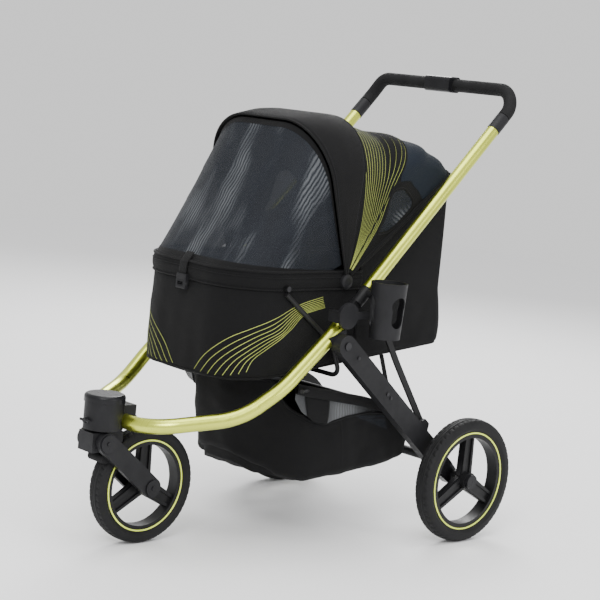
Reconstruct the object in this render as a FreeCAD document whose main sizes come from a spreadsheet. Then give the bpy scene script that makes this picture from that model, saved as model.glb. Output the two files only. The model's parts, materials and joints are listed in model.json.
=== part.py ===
import FreeCAD, Part
import math
import os

# Three-wheeled pet stroller.  Frame: +X is the stroller's left, -Y is forward, +Z is up.
# The origin is on the floor, under the middle of the whole object.  Millimetres.

doc = FreeCAD.newDocument("PetStroller")
V = FreeCAD.Vector
SIDES = (("left", 1), ("right", -1))

# ---------------------------------------------------------------- driving dimensions
DIMENSIONS = {
    "rear_wheel_radius": 150, "front_wheel_radius": 133, "tyre_width": 44,
    "rear_axle_y": 377, "rear_wheel_x": 318, "front_axle_y": -354,
    "frame_tube_radius": 17, "frame_tube_x": 240, "frame_wall": 2,
    "upper_tube_radius": 15.5, "upper_tube_x": 235,
    "sleeve_radius": 14, "fold_y": 20, "fold_z": 555, "fold_angle": 45.3,
    "clevis_gap": 12.4, "running_gap": 0.4,
    "leg_pivot_y": -23, "leg_pivot_z": 485, "leg_inner_x": 258, "leg_thickness": 24,
    "leg_width": 50, "bolt_radius": 5,
    "strut_head_reach": 60,
    "swivel_y": -475, "head_radius": 46, "head_top_z": 349, "head_base_z": 271,
    "arm_pivot_y": -488, "arm_pivot_z": 245, "arm_inner_x": 27, "arm_thickness": 15,
    "cabin_half_width": 196, "cabin_front_y": -275, "cabin_rear_y": 361, "cabin_rear_corner": 26,
    "rim_base_z": 602, "rim_top_z": 641, "rim_thickness": 12, "cloth_thickness": 3,
    "hood_pivot_y": 27, "hood_pivot_z": 620, "hood_radius": 372,
    "basket_half_width": 205, "handle_z": 1083, "handle_y": 512,
    "grip_radius": 16, "cup_radius": 42, "cup_x": 306, "cup_y": 66,
}
sheet = doc.addObject("Spreadsheet::Sheet", "Dimensions")
for row, (alias, value) in enumerate(DIMENSIONS.items(), start=1):
    sheet.set("A%d" % row, alias)
    sheet.set("B%d" % row, str(value))
    sheet.setAlias("B%d" % row, alias)
doc.recompute()


def size(alias):
    """The value of one driving dimension."""
    return float(getattr(sheet, alias))


NODES = []


def keep(obj, label):
    """Make a document object one of the part's named pieces."""
    obj.Label = label
    NODES.append(obj)
    return obj


def bind(obj, **expressions):
    """Tie properties to cells of the sheet; words in the expression are the cells' aliases."""
    for prop, text in expressions.items():
        for alias in sorted(DIMENSIONS, key=len, reverse=True):
            text = text.replace("<%s>" % alias, "Dimensions." + alias)
        obj.setExpression(prop.replace("__", "."), text)
    return obj


def feature(label, shape):
    """A piece whose shape is built with Part functions."""
    obj = doc.addObject("Part::Feature", label)
    obj.Shape = shape
    return keep(obj, label)


# ---------------------------------------------------------------- shape helpers
def rounded_path(points, radii):
    """A wire of straight runs joined by tangent arcs; radii belong to the inner points."""
    edges = []
    start = points[0]
    for corner, after, radius in zip(points[1:-1], points[2:], radii):
        back = (start - corner).normalize()
        ahead = (after - corner).normalize()
        half = back.getAngle(ahead) / 2
        reach = radius / math.tan(half)
        first = corner + back * reach
        last = corner + ahead * reach
        middle_way = (back + ahead).normalize()
        middle = corner + middle_way * (radius / math.sin(half) - radius)
        edges.append(Part.LineSegment(start, first).toShape())
        edges.append(Part.Arc(first, middle, last).toShape())
        start = last
    edges.append(Part.LineSegment(start, points[-1]).toShape())
    return Part.Wire(edges)


def tube(points, radii, outer, inner=0):
    """A round tube or rod along a rounded path."""
    path = rounded_path(points, radii)
    along = (points[1] - points[0]).normalize()

    def sweep(radius):
        ring = Part.Wire([Part.makeCircle(radius, points[0], along)])
        return path.makePipeShell([ring], True, True)

    solid = sweep(outer)
    return solid.cut(sweep(inner)) if inner else solid


def mirrored(points):
    """Add the other side's points to half a symmetric path that starts on the left."""
    return points + [V(-p.x, p.y, p.z) for p in reversed(points)]


def rod(start, end, radius):
    return Part.makeCylinder(radius, (end - start).Length, start, end - start)


def x_rod(x_from, x_to, y, z, radius):
    """A cylinder along X."""
    return Part.makeCylinder(radius, abs(x_to - x_from), V(min(x_from, x_to), y, z), V(1, 0, 0))


def block(x_span, y_span, z_span):
    low = V(x_span[0], y_span[0], z_span[0])
    return Part.makeBox(x_span[1] - low.x, y_span[1] - low.y, z_span[1] - low.z, low)


def side_plate(outline, x_from, x_to):
    """A plate seen from the side: (y, z) points extruded along X."""
    points = [V(x_from, y, z) for y, z in outline]
    face = Part.Face(Part.makePolygon(points + points[:1]))
    return face.extrude(V(x_to - x_from, 0, 0))


def round_bar(near, far, width, x_from, x_to):
    """A flat bar with round ends between two side-view points."""
    (ay, az), (by, bz) = near, far
    length = math.hypot(by - ay, bz - az)
    py, pz = (ay - by) / length * width / 2, (az - bz) / length * width / 2
    middle = side_plate([(ay - pz, az + py), (by - pz, bz + py), (by + pz, bz - py), (ay + pz, az - py)],
                        x_from, x_to)
    return fused(middle, x_rod(x_from, x_to, ay, az, width / 2), x_rod(x_from, x_to, by, bz, width / 2))


def rounded_plan(x_half, y_front, y_rear, front_radius, rear_radius, z):
    """A face in plan with round front and rear corners."""
    points = [V(0, y_front, z), V(x_half, y_front, z), V(x_half, y_rear, z), V(-x_half, y_rear, z),
              V(-x_half, y_front, z), V(0, y_front, z)]
    radii = [front_radius, rear_radius, rear_radius, front_radius]
    return Part.Face(rounded_path(points, radii))


def side_point(y, z, angle, reach):
    """A point in the side view, `reach` from (y, z) at `angle` degrees above +Y."""
    turn = math.radians(angle)
    return y + reach * math.cos(turn), z + reach * math.sin(turn)


def fused(*shapes):
    return shapes[0].multiFuse(list(shapes[1:])).removeSplitter()


def sketch_on(body, role, name, edges):
    """A sketch on one of the body's own origin planes; edges are (start, end) or arcs by three points."""
    sketch = body.newObject("Sketcher::SketchObject", name)
    plane = [item for item in body.Origin.OriginFeatures if item.Role == role][0]
    sketch.AttachmentSupport = [(plane, "")]
    sketch.MapMode = "FlatFace"
    for edge in edges:
        points = [V(x, y, 0) for x, y in edge]
        shape = Part.LineSegment(*points) if len(points) == 2 else Part.Arc(*points)
        sketch.addGeometry(shape, False)
    return sketch


def outline_edges(points):
    return list(zip(points, points[1:] + points[:1]))


def slot_edges(near, far, width):
    """The outline of a bar with round ends between two points of a sketch."""
    (ax, ay), (bx, by) = near, far
    length = math.hypot(bx - ax, by - ay)
    ux, uy = (bx - ax) / length, (by - ay) / length
    r = width / 2

    def at(px, py, along, across):
        return px + along * ux - across * uy, py + along * uy + across * ux

    return [(at(ax, ay, 0, r), at(bx, by, 0, r)),
            (at(bx, by, 0, r), at(bx, by, r, 0), at(bx, by, 0, -r)),
            (at(bx, by, 0, -r), at(ax, ay, 0, -r)),
            (at(ax, ay, 0, -r), at(ax, ay, -r, 0), at(ax, ay, 0, r))]


def circle_edges(radius, centre=(0, 0)):
    x, y = centre
    return [((x - radius, y), (x, y + radius), (x + radius, y)),
            ((x + radius, y), (x, y - radius), (x - radius, y))]


def padded_body(label, role, edges, length, at, holes=()):
    """A PartDesign body with one padded sketch; length is an expression in sheet words."""
    body = doc.addObject("PartDesign::Body", label)
    sketch = sketch_on(body, role, label + "_outline", edges)
    pad = body.newObject("PartDesign::Pad", label + "_pad")
    pad.Profile = sketch
    bind(pad, Length=length)
    if holes:
        drill_edges = [edge for centre, radius in holes for edge in circle_edges(radius, centre)]
        drill = sketch_on(body, role, label + "_hole_outline", drill_edges)
        pocket = body.newObject("PartDesign::Pocket", label + "_holes")
        pocket.Profile = drill
        pocket.Type = 1
        pocket.Midplane = True
    body.Placement = FreeCAD.Placement(at, FreeCAD.Rotation())
    return keep(body, label)


# ---------------------------------------------------------------- wheels
def wheel(label, radius_alias, x, y):
    """Tyre, three-spoke rim, pinstripes; the wheel turns about X."""
    radius = size(radius_alias)
    half = size("tyre_width") / 2
    at = FreeCAD.Placement(V(x, y, radius), FreeCAD.Rotation())
    bead = radius * 0.80

    body = doc.addObject("PartDesign::Body", label + "_tyre")
    shoulder = half * 0.8
    profile = [((-half * 0.75, bead), (half * 0.75, bead)), ((half * 0.75, bead), (half, radius * 0.88)),
               ((half, radius * 0.88), (shoulder, radius * 0.965)),
               ((shoulder, radius * 0.965), (0, radius), (-shoulder, radius * 0.965)),
               ((-shoulder, radius * 0.965), (-half, radius * 0.88)),
               ((-half, radius * 0.88), (-half * 0.75, bead))]
    revolved(body, label + "_tyre", profile)
    body.Placement = at
    keep(body, label + "_tyre")

    body = doc.addObject("PartDesign::Body", label + "_rim")
    barrel = radius * 0.70
    lip = half * 0.72
    profile = outline_edges([(-lip, barrel), (lip, barrel), (lip, bead - 0.1), (-lip, bead - 0.1)])
    revolved(body, label + "_rim", profile)
    add_hub_and_spokes(body, label, barrel)
    body.Placement = at
    keep(body, label + "_rim")

    stripes = []
    for side in (-1, 1):
        centre = V(x + side * (half * 0.72 + 0.6), y, radius)
        outer = Part.makeCylinder(bead - 1, 1.2, centre - V(0.6, 0, 0), V(1, 0, 0))
        inner = Part.makeCylinder(bead - 4.5, 1.2, centre - V(0.6, 0, 0), V(1, 0, 0))
        stripes.append(outer.cut(inner))
    feature(label + "_stripes", Part.makeCompound(stripes))


def revolved(body, name, profile):
    sketch = sketch_on(body, "XY_Plane", name + "_profile", profile)
    turn = body.newObject("PartDesign::Revolution", name + "_turn")
    turn.Profile = sketch
    turn.ReferenceAxis = (sketch, ["H_Axis"])
    turn.Angle = 360
    return turn


def add_hub_and_spokes(body, label, barrel):
    """The hub barrel with its axle bore, and three broad spokes with two raised ribs each."""
    hub_outline = sketch_on(body, "YZ_Plane", label + "_hub_outline", circle_edges(21))
    hub = body.newObject("PartDesign::Pad", label + "_hub")
    hub.Profile = hub_outline
    hub.Midplane = True
    bind(hub, Length="<tyre_width> - 2")
    spoke = sketch_on(body, "YZ_Plane", label + "_spoke_outline",
                      outline_edges([(-20, 12), (20, 12), (16, barrel + 2), (-16, barrel + 2)]))
    web = body.newObject("PartDesign::Pad", label + "_spoke")
    web.Profile = spoke
    web.Length = 12
    web.Midplane = True
    rib_edges = []
    for middle in (-13, 13):
        rib_edges += outline_edges([(middle - 4, 16), (middle + 4, 16), (middle * 0.9 + 3, barrel + 1),
                                    (middle * 0.9 - 3, barrel + 1)])
    ribs = sketch_on(body, "YZ_Plane", label + "_rib_outline", rib_edges)
    rib_pad = body.newObject("PartDesign::Pad", label + "_ribs")
    rib_pad.Profile = ribs
    rib_pad.Length = 20
    rib_pad.Midplane = True
    pattern = body.newObject("PartDesign::PolarPattern", label + "_spokes")
    pattern.Originals = [web, rib_pad]
    axis = [item for item in body.Origin.OriginFeatures if item.Role == "X_Axis"][0]
    pattern.Axis = (axis, [""])
    pattern.Angle = 360
    pattern.Occurrences = 3
    body.Tip = pattern
    bore = sketch_on(body, "YZ_Plane", label + "_bore_outline", circle_edges(6.1))
    pocket = body.newObject("PartDesign::Pocket", label + "_bore")
    pocket.Profile = bore
    pocket.Type = 1
    pocket.Midplane = True
    body.Tip = pocket


wheel("front_wheel", "front_wheel_radius", 0, size("front_axle_y"))
for side_name, sign in SIDES:
    wheel("rear_wheel_" + side_name, "rear_wheel_radius", sign * size("rear_wheel_x"), size("rear_axle_y"))

# ---------------------------------------------------------------- lower frame
FOLD = (size("fold_y"), size("fold_z"))
FOLD_ANGLE = size("fold_angle")
TUBE_TOP = V(size("upper_tube_x"), *side_point(*FOLD, FOLD_ANGLE + 180, 32))
LOWER_PATH = mirrored([
    TUBE_TOP,
    V(size("frame_tube_x"), -40, 500),
    V(size("frame_tube_x"), -170, 389),
    V(212, -262, 321),
    V(112, -438, 290)])
LOWER_RADII = [260, 250, 200, 115, 115, 200, 250, 260]
tube_inner = size("frame_tube_radius") - size("frame_wall")
feature("lower_frame_tube", tube(LOWER_PATH, LOWER_RADII, size("frame_tube_radius"), tube_inner))


def on_fold_axis(x, reach):
    """A point on the upper tube's line, `reach` from the fold pin."""
    return V(x, *side_point(*FOLD, FOLD_ANGLE, reach))


def fold_joint(side_name, sign):
    """Clevis on the lower tube, tongue on the upper tube: one fold joint."""
    x = sign * size("upper_tube_x")
    radius = size("sleeve_radius")
    gap = size("clevis_gap")
    slot_depth = 27.5
    plug = rod(on_fold_axis(x, -46), on_fold_axis(x, -32), tube_inner - 2.4)
    sleeve = rod(on_fold_axis(x, -32), on_fold_axis(x, 0), radius)
    eye = x_rod(x - radius, x + radius, *FOLD, radius)
    slot = Part.makeBox(gap, 200, 200, V(x - gap / 2, -100, -100))
    slot = slot.common(Part.makeBox(gap, 100, 200, V(x - gap / 2, -slot_depth, -100)))
    slot.Placement = FreeCAD.Placement(V(0, *FOLD), FreeCAD.Rotation(V(1, 0, 0), FOLD_ANGLE))
    pin_hole = x_rod(x - 30, x + 30, *FOLD, 4)
    clevis = fused(plug, sleeve, eye)
    feature("fold_clevis_" + side_name, clevis.cut(slot).cut(pin_hole))

    tongue = x_rod(x - gap / 2 + 0.3, x + gap / 2 - 0.3, *FOLD, radius - 1)
    neck = Part.makeBox(gap - 0.6, 60, 2 * radius - 2, V(x - gap / 2 + 0.3, 0, 1 - radius))
    neck.Placement = FreeCAD.Placement(V(0, *FOLD), FreeCAD.Rotation(V(1, 0, 0), FOLD_ANGLE))
    upper = rod(on_fold_axis(x, slot_depth - 2), on_fold_axis(x, 70), radius)
    plug = rod(on_fold_axis(x, 60), on_fold_axis(x, 90), size("upper_tube_radius") - size("frame_wall") - 0.2)
    neck = neck.common(rod(on_fold_axis(x, -1), on_fold_axis(x, 40), radius))
    boss_end = size("leg_inner_x") - 2.6
    boss = x_rod(x, sign * boss_end, *side_point(*FOLD, FOLD_ANGLE, size("strut_head_reach")), 9)
    sleeve = fused(upper, neck, tongue, plug, boss)
    feature("fold_tongue_" + side_name, sleeve.cut(x_rod(x - 30, x + 30, *FOLD, 4.06)))


for side_name, sign in SIDES:
    fold_joint(side_name, sign)

pins = []
for side_name, sign in SIDES:
    x = sign * size("upper_tube_x")
    radius = size("sleeve_radius")
    shank = x_rod(x - radius - 0.2, x + radius + 0.2, *FOLD, 4)
    heads = [x_rod(x + way * (radius + 0.1), x + way * (radius + 1.6), *FOLD, 7.5) for way in (-1, 1)]
    pins.append(fused(shank, *heads))
feature("fold_pins", Part.makeCompound(pins))

LEG_PIVOT = (size("leg_pivot_y"), size("leg_pivot_z"))


def leg_bracket(sign):
    """The ear under the lower tube that the rear leg turns on."""
    inner = sign * (size("leg_inner_x") - 12)
    outer = sign * (size("leg_inner_x") - 0.4)
    ear = x_rod(inner, outer, *LEG_PIVOT, 20)
    web = side_plate([(-58, 500), (-8, 520), (-4, 478), (-38, 470)], inner, outer)
    around = tube(LOWER_PATH, LOWER_RADII, size("frame_tube_radius"))
    return max(fused(ear, web).cut(around).Solids, key=lambda solid: solid.Volume)


feature("leg_brackets", Part.makeCompound([leg_bracket(sign) for side_name, sign in SIDES]))

bolts = []
for side_name, sign in SIDES:
    shank_end = size("leg_inner_x") + size("leg_thickness")
    shank = x_rod(sign * (size("leg_inner_x") - 0.4), sign * shank_end, *LEG_PIVOT, size("bolt_radius"))
    cap = x_rod(sign * (shank_end + 0.3), sign * (shank_end + 3), *LEG_PIVOT, 9)
    neck = x_rod(sign * shank_end, sign * (shank_end + 0.3), *LEG_PIVOT, size("bolt_radius"))
    bolts.append(fused(shank, neck, cap))
feature("leg_pivot_bolts", Part.makeCompound(bolts))

# ---------------------------------------------------------------- front head and swivel
SWIVEL = (0, size("swivel_y"))
head_base = size("head_base_z")
head_top = size("head_top_z")
head = fused(
    Part.makeCylinder(size("head_radius") - 2, head_top - 18 - head_base, V(*SWIVEL, head_base)),
    block((-30, 30), (SWIVEL[1], -409), (head_base + 2, head_top - 24)))
head = head.cut(tube(LOWER_PATH, LOWER_RADII, size("frame_tube_radius")))
head = head.cut(Part.makeCylinder(8.05, 30, V(*SWIVEL, head_base - 1)))
feature("head_housing", head)
cap = Part.makeCylinder(size("head_radius"), 18, V(*SWIVEL, head_top - 18))
cap = cap.makeFillet(8, [edge for edge in cap.Edges if edge.BoundBox.ZMin > head_top - 1])
feature("head_cap", cap)
clamp = [rod(V(side * 18, -409, 292), V(side * 18, -399, 292), 6) for side in (-1, 1)]
feature("head_clamp_bolts", Part.makeCompound(clamp))

ARM_PIVOT = (size("arm_pivot_y"), size("arm_pivot_z"))
yoke_top = head_base - size("running_gap")
yoke = Part.makeCylinder(26, 8, V(*SWIVEL, yoke_top - 8))
yoke_block = block((-26, 26), (-519, -437), (223, yoke_top - 4))
yoke = fused(yoke, yoke_block, x_rod(-26, 26, *ARM_PIVOT, 24))
wheel_room = x_rod(-40, 40, size("front_axle_y"), size("front_wheel_radius"), size("front_wheel_radius") + 5)
yoke = yoke.cut(wheel_room)
yoke = yoke.cut(x_rod(-40, 40, *ARM_PIVOT, 6.06))
feature("swivel_yoke", yoke)
feature("swivel_stem", Part.makeCylinder(8, 28, V(*SWIVEL, yoke_top)))
LOCK_Z = 292

arm_from = size("arm_inner_x")
axle_at = (size("front_axle_y"), size("front_wheel_radius"))


def front_arm(side_name, sign):
    """One flat fork arm from the suspension pivot to the front axle."""
    x = arm_from if sign > 0 else -arm_from - size("arm_thickness")
    edges = slot_edges(ARM_PIVOT, axle_at, 46)
    holes = [(ARM_PIVOT, 6.06), (axle_at, 6.06)]
    padded_body("fork_arm_" + side_name, "YZ_Plane", edges, "<arm_thickness>", V(x, 0, 0), holes)


for side_name, sign in SIDES:
    front_arm(side_name, sign)
arm_outer = arm_from + size("arm_thickness")


def bolt_with_discs(label, y, z, half, disc_radius, shank_radius=6):
    """A cross bolt with a round disc and a small hexagonal-size head at each end."""
    discs = [x_rod(way * (half + 0.1), way * (half + 3.5), y, z, disc_radius) for way in (-1, 1)]
    heads = [x_rod(way * (half + 3.5), way * (half + 5.5), y, z, 5) for way in (-1, 1)]
    feature(label, fused(x_rod(-half - 1, half + 1, y, z, shank_radius), *discs, *heads))


bolt_with_discs("fork_pivot_bolt", *ARM_PIVOT, arm_outer, 20)
bolt_with_discs("front_axle", *axle_at, arm_outer, 19)
BUMPER = side_point(*ARM_PIVOT, -62, 47)
feature("fork_bumper", x_rod(-arm_from + 0.2, arm_from - 0.2, BUMPER[0] - 14, BUMPER[1] + 2, 10))
knob = fused(x_rod(-16, 16, SWIVEL[1] - 50, LOCK_Z, 3),
             rod(V(0, SWIVEL[1] - 44.6, LOCK_Z), V(0, SWIVEL[1] - 53, LOCK_Z), 6))
feature("swivel_lock_lever", knob)

# ---------------------------------------------------------------- rear frame
HUB = (size("rear_axle_y"), size("rear_wheel_radius"))
LEG_ANGLE = math.degrees(math.atan2(HUB[1] - LEG_PIVOT[1], HUB[0] - LEG_PIVOT[0]))
LEG_LENGTH = math.hypot(HUB[0] - LEG_PIVOT[0], HUB[1] - LEG_PIVOT[1])
CROSS_TUBE = side_point(*side_point(*LEG_PIVOT, LEG_ANGLE, 470), LEG_ANGLE + 90, 8)
leg_end = side_point(*LEG_PIVOT, LEG_ANGLE, LEG_LENGTH - 62)


def on_leg(along, across):
    """A side-view point given along the leg from its pivot, and across it (up is positive)."""
    return side_point(*side_point(*LEG_PIVOT, LEG_ANGLE, along), LEG_ANGLE + 90, across)


def rear_leg(side_name, sign):
    """The wide flat leg, the wheel housing at its foot and the lug the strut is pinned to."""
    inner = size("leg_inner_x")
    outer = inner + size("leg_thickness")
    x = inner if sign > 0 else -outer
    holes = [(LEG_PIVOT, size("bolt_radius") + 0.06), (CROSS_TUBE, 11.02)]
    padded_body("rear_leg_" + side_name, "YZ_Plane", slot_edges(LEG_PIVOT, leg_end, size("leg_width")),
                "<leg_thickness>", V(x, 0, 0), holes)
    leg_end_reach = LEG_LENGTH - 62
    foot_outline = [on_leg(leg_end_reach + 26, 22), on_leg(LEG_LENGTH + 4, 19), on_leg(LEG_LENGTH + 17, 0),
                    on_leg(LEG_LENGTH + 4, -19), on_leg(leg_end_reach + 26, -24)]
    foot = side_plate(foot_outline, sign * (inner + 2), sign * (outer + 2))
    foot = foot.cut(round_bar(LEG_PIVOT, leg_end, size("leg_width"), sign * inner, sign * outer))
    foot = foot.cut(x_rod(-400, 400, *HUB, 6.04))
    feature("leg_foot_" + side_name, fused(foot, side_plate(
        [on_leg(LEG_LENGTH - 92, 20), on_leg(LEG_LENGTH - 34, 20), on_leg(LEG_LENGTH - 34, -20),
         on_leg(LEG_LENGTH - 92, -20)], sign * (outer + 0.1), sign * (outer + 6))))


def strut_lug(sign):
    inner = size("leg_inner_x")
    return side_plate([on_leg(334, 25.2), on_leg(372, 25.2), on_leg(362, 43), on_leg(344, 43)],
                      sign * (inner + 5), sign * (inner + 18))


for side_name, sign in SIDES:
    rear_leg(side_name, sign)
feature("strut_lugs", Part.makeCompound([strut_lug(sign) for side_name, sign in SIDES]))

inner_x = size("leg_inner_x")
cross = x_rod(-inner_x - 20, inner_x + 20, *CROSS_TUBE, 11).cut(x_rod(-300, 300, *CROSS_TUBE, 9.4))
feature("rear_cross_tube", cross)

screws = []
for side_name, sign in SIDES:
    outer = sign * (inner_x + size("leg_thickness"))
    for along, across in ((48, 3), (187, 3), (203, 3)):
        screws.append(x_rod(outer + sign * 0.1, outer + sign * 2.1, *on_leg(along, across), 4))
feature("leg_screws", Part.makeCompound(screws))


def rear_axle(side_name, sign):
    """Stub axle with its hub cap; the wheel runs on it."""
    inner = inner_x + 2
    hub_face = size("rear_wheel_x") + size("tyre_width") / 2 - 1
    shank = x_rod(sign * inner, sign * (hub_face + 1), *HUB, 6)
    collar = x_rod(sign * (inner_x + size("leg_thickness") + 2.2), sign * (hub_face - 42.6), *HUB, 13)
    cap = x_rod(sign * (hub_face + 0.5), sign * (hub_face + 9), *HUB, 17)
    feature("rear_axle_" + side_name, fused(shank, collar, cap))


for side_name, sign in SIDES:
    rear_axle(side_name, sign)

STRUT_HEAD = side_point(*FOLD, FOLD_ANGLE, size("strut_head_reach"))
strut_foot = on_leg(353, 36)
strut_x = size("leg_inner_x") - 2
STRUT_THICKNESS = 5.4
STRUT_HALF_WIDTH = 8


def strut(sign):
    """The slightly bowed link from the fold joint to the leg; its head pivot is the open one."""
    inner, outer = sign * strut_x, sign * (strut_x + STRUT_THICKNESS)
    centre_x = (inner + outer) / 2
    start = V(centre_x, *STRUT_HEAD)
    end = V(centre_x, *strut_foot)
    middle = (start + end) / 2 + V(0, -3, -4)
    bar = tube([start, middle, end], [900], STRUT_HALF_WIDTH)
    flat = block(sorted((inner, outer)), (-400, 400), (0, 900))
    head = x_rod(inner, outer, *STRUT_HEAD, STRUT_HALF_WIDTH + 1)
    foot = x_rod(inner, outer, *strut_foot, STRUT_HALF_WIDTH)
    return fused(bar.common(flat), head, foot)


feature("fold_struts", Part.makeCompound([strut(sign) for side_name, sign in SIDES]))

pedal = fused(x_rod(-34, 34, *CROSS_TUBE, 17),
              side_plate([(CROSS_TUBE[0] + 4, CROSS_TUBE[1] + 15), (CROSS_TUBE[0] + 52, CROSS_TUBE[1] + 4),
                          (CROSS_TUBE[0] + 51, CROSS_TUBE[1] - 2), (CROSS_TUBE[0] + 6, CROSS_TUBE[1] - 6)],
                         -32, 32))
feature("brake_pedal", pedal.cut(x_rod(-60, 60, *CROSS_TUBE, 11.3)))

# ---------------------------------------------------------------- upper frame and handle
LIME_TOP = V(size("upper_tube_x"), *side_point(*FOLD, FOLD_ANGLE, 604))


def upper_tube(side_name, sign):
    """The straight tube from the fold joint to the handle."""
    low = on_fold_axis(sign * size("upper_tube_x"), 70.1)
    high = V(sign * LIME_TOP.x, LIME_TOP.y, LIME_TOP.z)
    cut_back = size("upper_tube_radius") - size("frame_wall")
    wall = rod(low, high, size("upper_tube_radius")).cut(rod(low, high, cut_back))
    feature("upper_tube_" + side_name, wall)


for side_name, sign in SIDES:
    upper_tube(side_name, sign)

x = size("upper_tube_x")
BAR_RADIUS = 12.5
SOCKET_TOP = 650
HANDLE_PATH = mirrored([
    V(x, *side_point(*FOLD, FOLD_ANGLE, 604.1)),
    V(x, *side_point(*FOLD, FOLD_ANGLE, 690)),
    V(x - 25, size("handle_y"), size("handle_z"))])
HANDLE_RADII = [60, 38, 38, 60]
bar = tube(HANDLE_PATH, HANDLE_RADII, BAR_RADIUS, 10.5)
bar_space = tube(HANDLE_PATH, HANDLE_RADII, BAR_RADIUS)
GRIP_CUT = side_point(*FOLD, FOLD_ANGLE, 655)
console_half = 42
grips = []
for side_name, sign in SIDES:
    outer = tube(HANDLE_PATH, HANDLE_RADII, size("grip_radius"))
    keep_side = block(sorted((sign * (console_half + 0.3), sign * 300)), (GRIP_CUT[0] - 30, 700), (900, 1200))
    # the foam starts just above the end sockets
    socket_room = rod(on_fold_axis(sign * x, 520), on_fold_axis(sign * x, SOCKET_TOP + 2), 60)
    grips.append(outer.common(keep_side).cut(bar_space).cut(socket_room))
feature("handle_bar", bar)
feature("handle_grips", Part.makeCompound(grips))
sockets = []
for side_name, sign in SIDES:
    low = V(sign * x, *side_point(*FOLD, FOLD_ANGLE, 604.2))
    high = V(sign * x, *side_point(*FOLD, FOLD_ANGLE, SOCKET_TOP))
    sockets.append(rod(low, high, size("grip_radius") + 0.4).cut(rod(low, high, BAR_RADIUS + 0.1)))
feature("handle_end_sockets", Part.makeCompound(sockets))
console = block((-console_half, console_half), (size("handle_y") - 28, size("handle_y") + 15.5),
                (size("handle_z") - 19, size("handle_z") + 20))
console = console.makeFillet(11, [edge for edge in console.Edges if edge.Length > 60])
feature("handle_console", console.cut(x_rod(-50, 50, size("handle_y"), size("handle_z"),
                                           BAR_RADIUS + 0.1)))

# ---------------------------------------------------------------- basket
basket_half = size("basket_half_width")
# side profile of the floor and of the top edge, and the plan of the rounded front
BASKET_FLOOR = [(-240, 372), (-240, 222), (-130, 176), (-94, 156), (-30, 149), (70, 160), (150, 167),
                (237, 177), (310, 187)]
BASKET_TOP = [(310, 285), (172, 318), (120, 331), (28, 348), (-30, 359), (-62, 366), (-80, 373),
              (-104, 386), (-240, 372)]
BASKET_NOSE = [(basket_half, 40), (190, -34), (146, -94), (104, -140), (56, -180)]
BASKET_REAR = 300


def basket_blank(inset):
    """The basket's outer volume moved inwards by `inset`, rounded towards the front."""
    side = side_plate(BASKET_FLOOR + [(310, 500), (-240, 500)], -300, 300)
    half_plan = [V(basket_half, BASKET_REAR, 0)] + [V(x, y, 0) for x, y in BASKET_NOSE]
    plan = mirrored(half_plan)
    outline = Part.makePolygon(plan + plan[:1])
    if inset:
        outline = outline.makeOffset2D(-inset)
    column = Part.Face(outline).extrude(V(0, 0, 600))
    side.translate(V(0, 0, inset))
    return column.common(side)


cloth = size("cloth_thickness")
basket = basket_blank(0).cut(basket_blank(cloth))
below_rim = side_plate(BASKET_FLOOR[:1] + [(-240, 60), (310, 60)] + BASKET_TOP, -300, 300)
feature("basket", basket.common(below_rim))
rail = mirrored([V(240, -112, 379), V(206, -60, 372), V(209, 120, 338), V(209, 296, 294)])
basket_rail = tube(rail, [26, 900, 30, 30, 900, 26], 4.6)
basket_rail = basket_rail.cut(tube(LOWER_PATH, LOWER_RADII, size("frame_tube_radius")))
feature("basket_rail", basket_rail)

# ---------------------------------------------------------------- cabin
half = size("cabin_half_width")
front_y = size("cabin_front_y")
rear_y = size("cabin_rear_y")
rear_corner = size("cabin_rear_corner")
rim_base = size("rim_base_z")
rim_top = size("rim_top_z")
HOOD = (size("hood_pivot_y"), size("hood_pivot_z"))


def tub_blank(inset, top):
    """The tub's volume moved inwards by `inset`: sloped floor, leaning rear wall, round corners."""
    front = front_y + inset
    rear = rear_y - inset
    side = side_plate([(front, 700), (front + 7, 402), (front + 28, 392), (rear - 12, 456), (rear + 14, 478),
                       (rear + 16, 500), (rear, 602), (rear, 700)], -300, 300)
    side.translate(V(0, 0, inset))
    plan = rounded_plan(half - inset, front, rear + 16, 100 - inset, rear_corner - inset, 300)
    return side.common(plan.extrude(V(0, 0, top - 300)))


tub = tub_blank(0, rim_base - 0.1).cut(tub_blank(cloth, 700))
feature("cabin_tub", tub)


def plan_ring(grow, thickness, low, high):
    plan = rounded_plan(half + grow, front_y - grow, rear_y, 100 + grow, rear_corner, low)
    outer = plan.extrude(V(0, 0, high - low))
    cut = rounded_plan(half + grow - thickness, front_y - grow + thickness, rear_y - thickness,
                       100 + grow - thickness, rear_corner - thickness, low - 1)
    return outer.cut(cut.extrude(V(0, 0, high - low + 2)))


rim = plan_ring(2, size("rim_thickness"), rim_base, rim_top)
feature("cabin_rim", rim.cut(x_rod(-300, 300, *HOOD, 4)))
WING_ANGLE = 37.5
wings = plan_ring(0.5, cloth, rim_top + 0.2, 900)
below_wing = side_plate([side_point(*HOOD, WING_ANGLE, 40), side_point(*HOOD, WING_ANGLE, 600),
                         (700, 600), side_point(*HOOD, 0, 30)], -300, 300)
feature("cabin_rear_panel", wings.common(below_wing))
pad = tub_blank(cloth + 7, 560)
pad_keep = side_plate([(-400, 380), (-400, 414), (400, 503), (400, 380)], -300, 300)
feature("cabin_floor_pad", pad.common(pad_keep))

bar_x = 204
SUPPORT_PATH = mirrored([V(bar_x, -153, 594), V(bar_x, 3, 476), V(bar_x, 39, 398)])
support = tube(SUPPORT_PATH, [40, 30, 30, 40], 5.5)
feature("cabin_support_bar", support)
rivets = []
for side_name, sign in SIDES:
    rivets.append(x_rod(sign * 198.1, sign * 212, -153, 606.2, 6.2))
feature("support_rivets", Part.makeCompound(rivets))

# ---------------------------------------------------------------- hood


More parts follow.
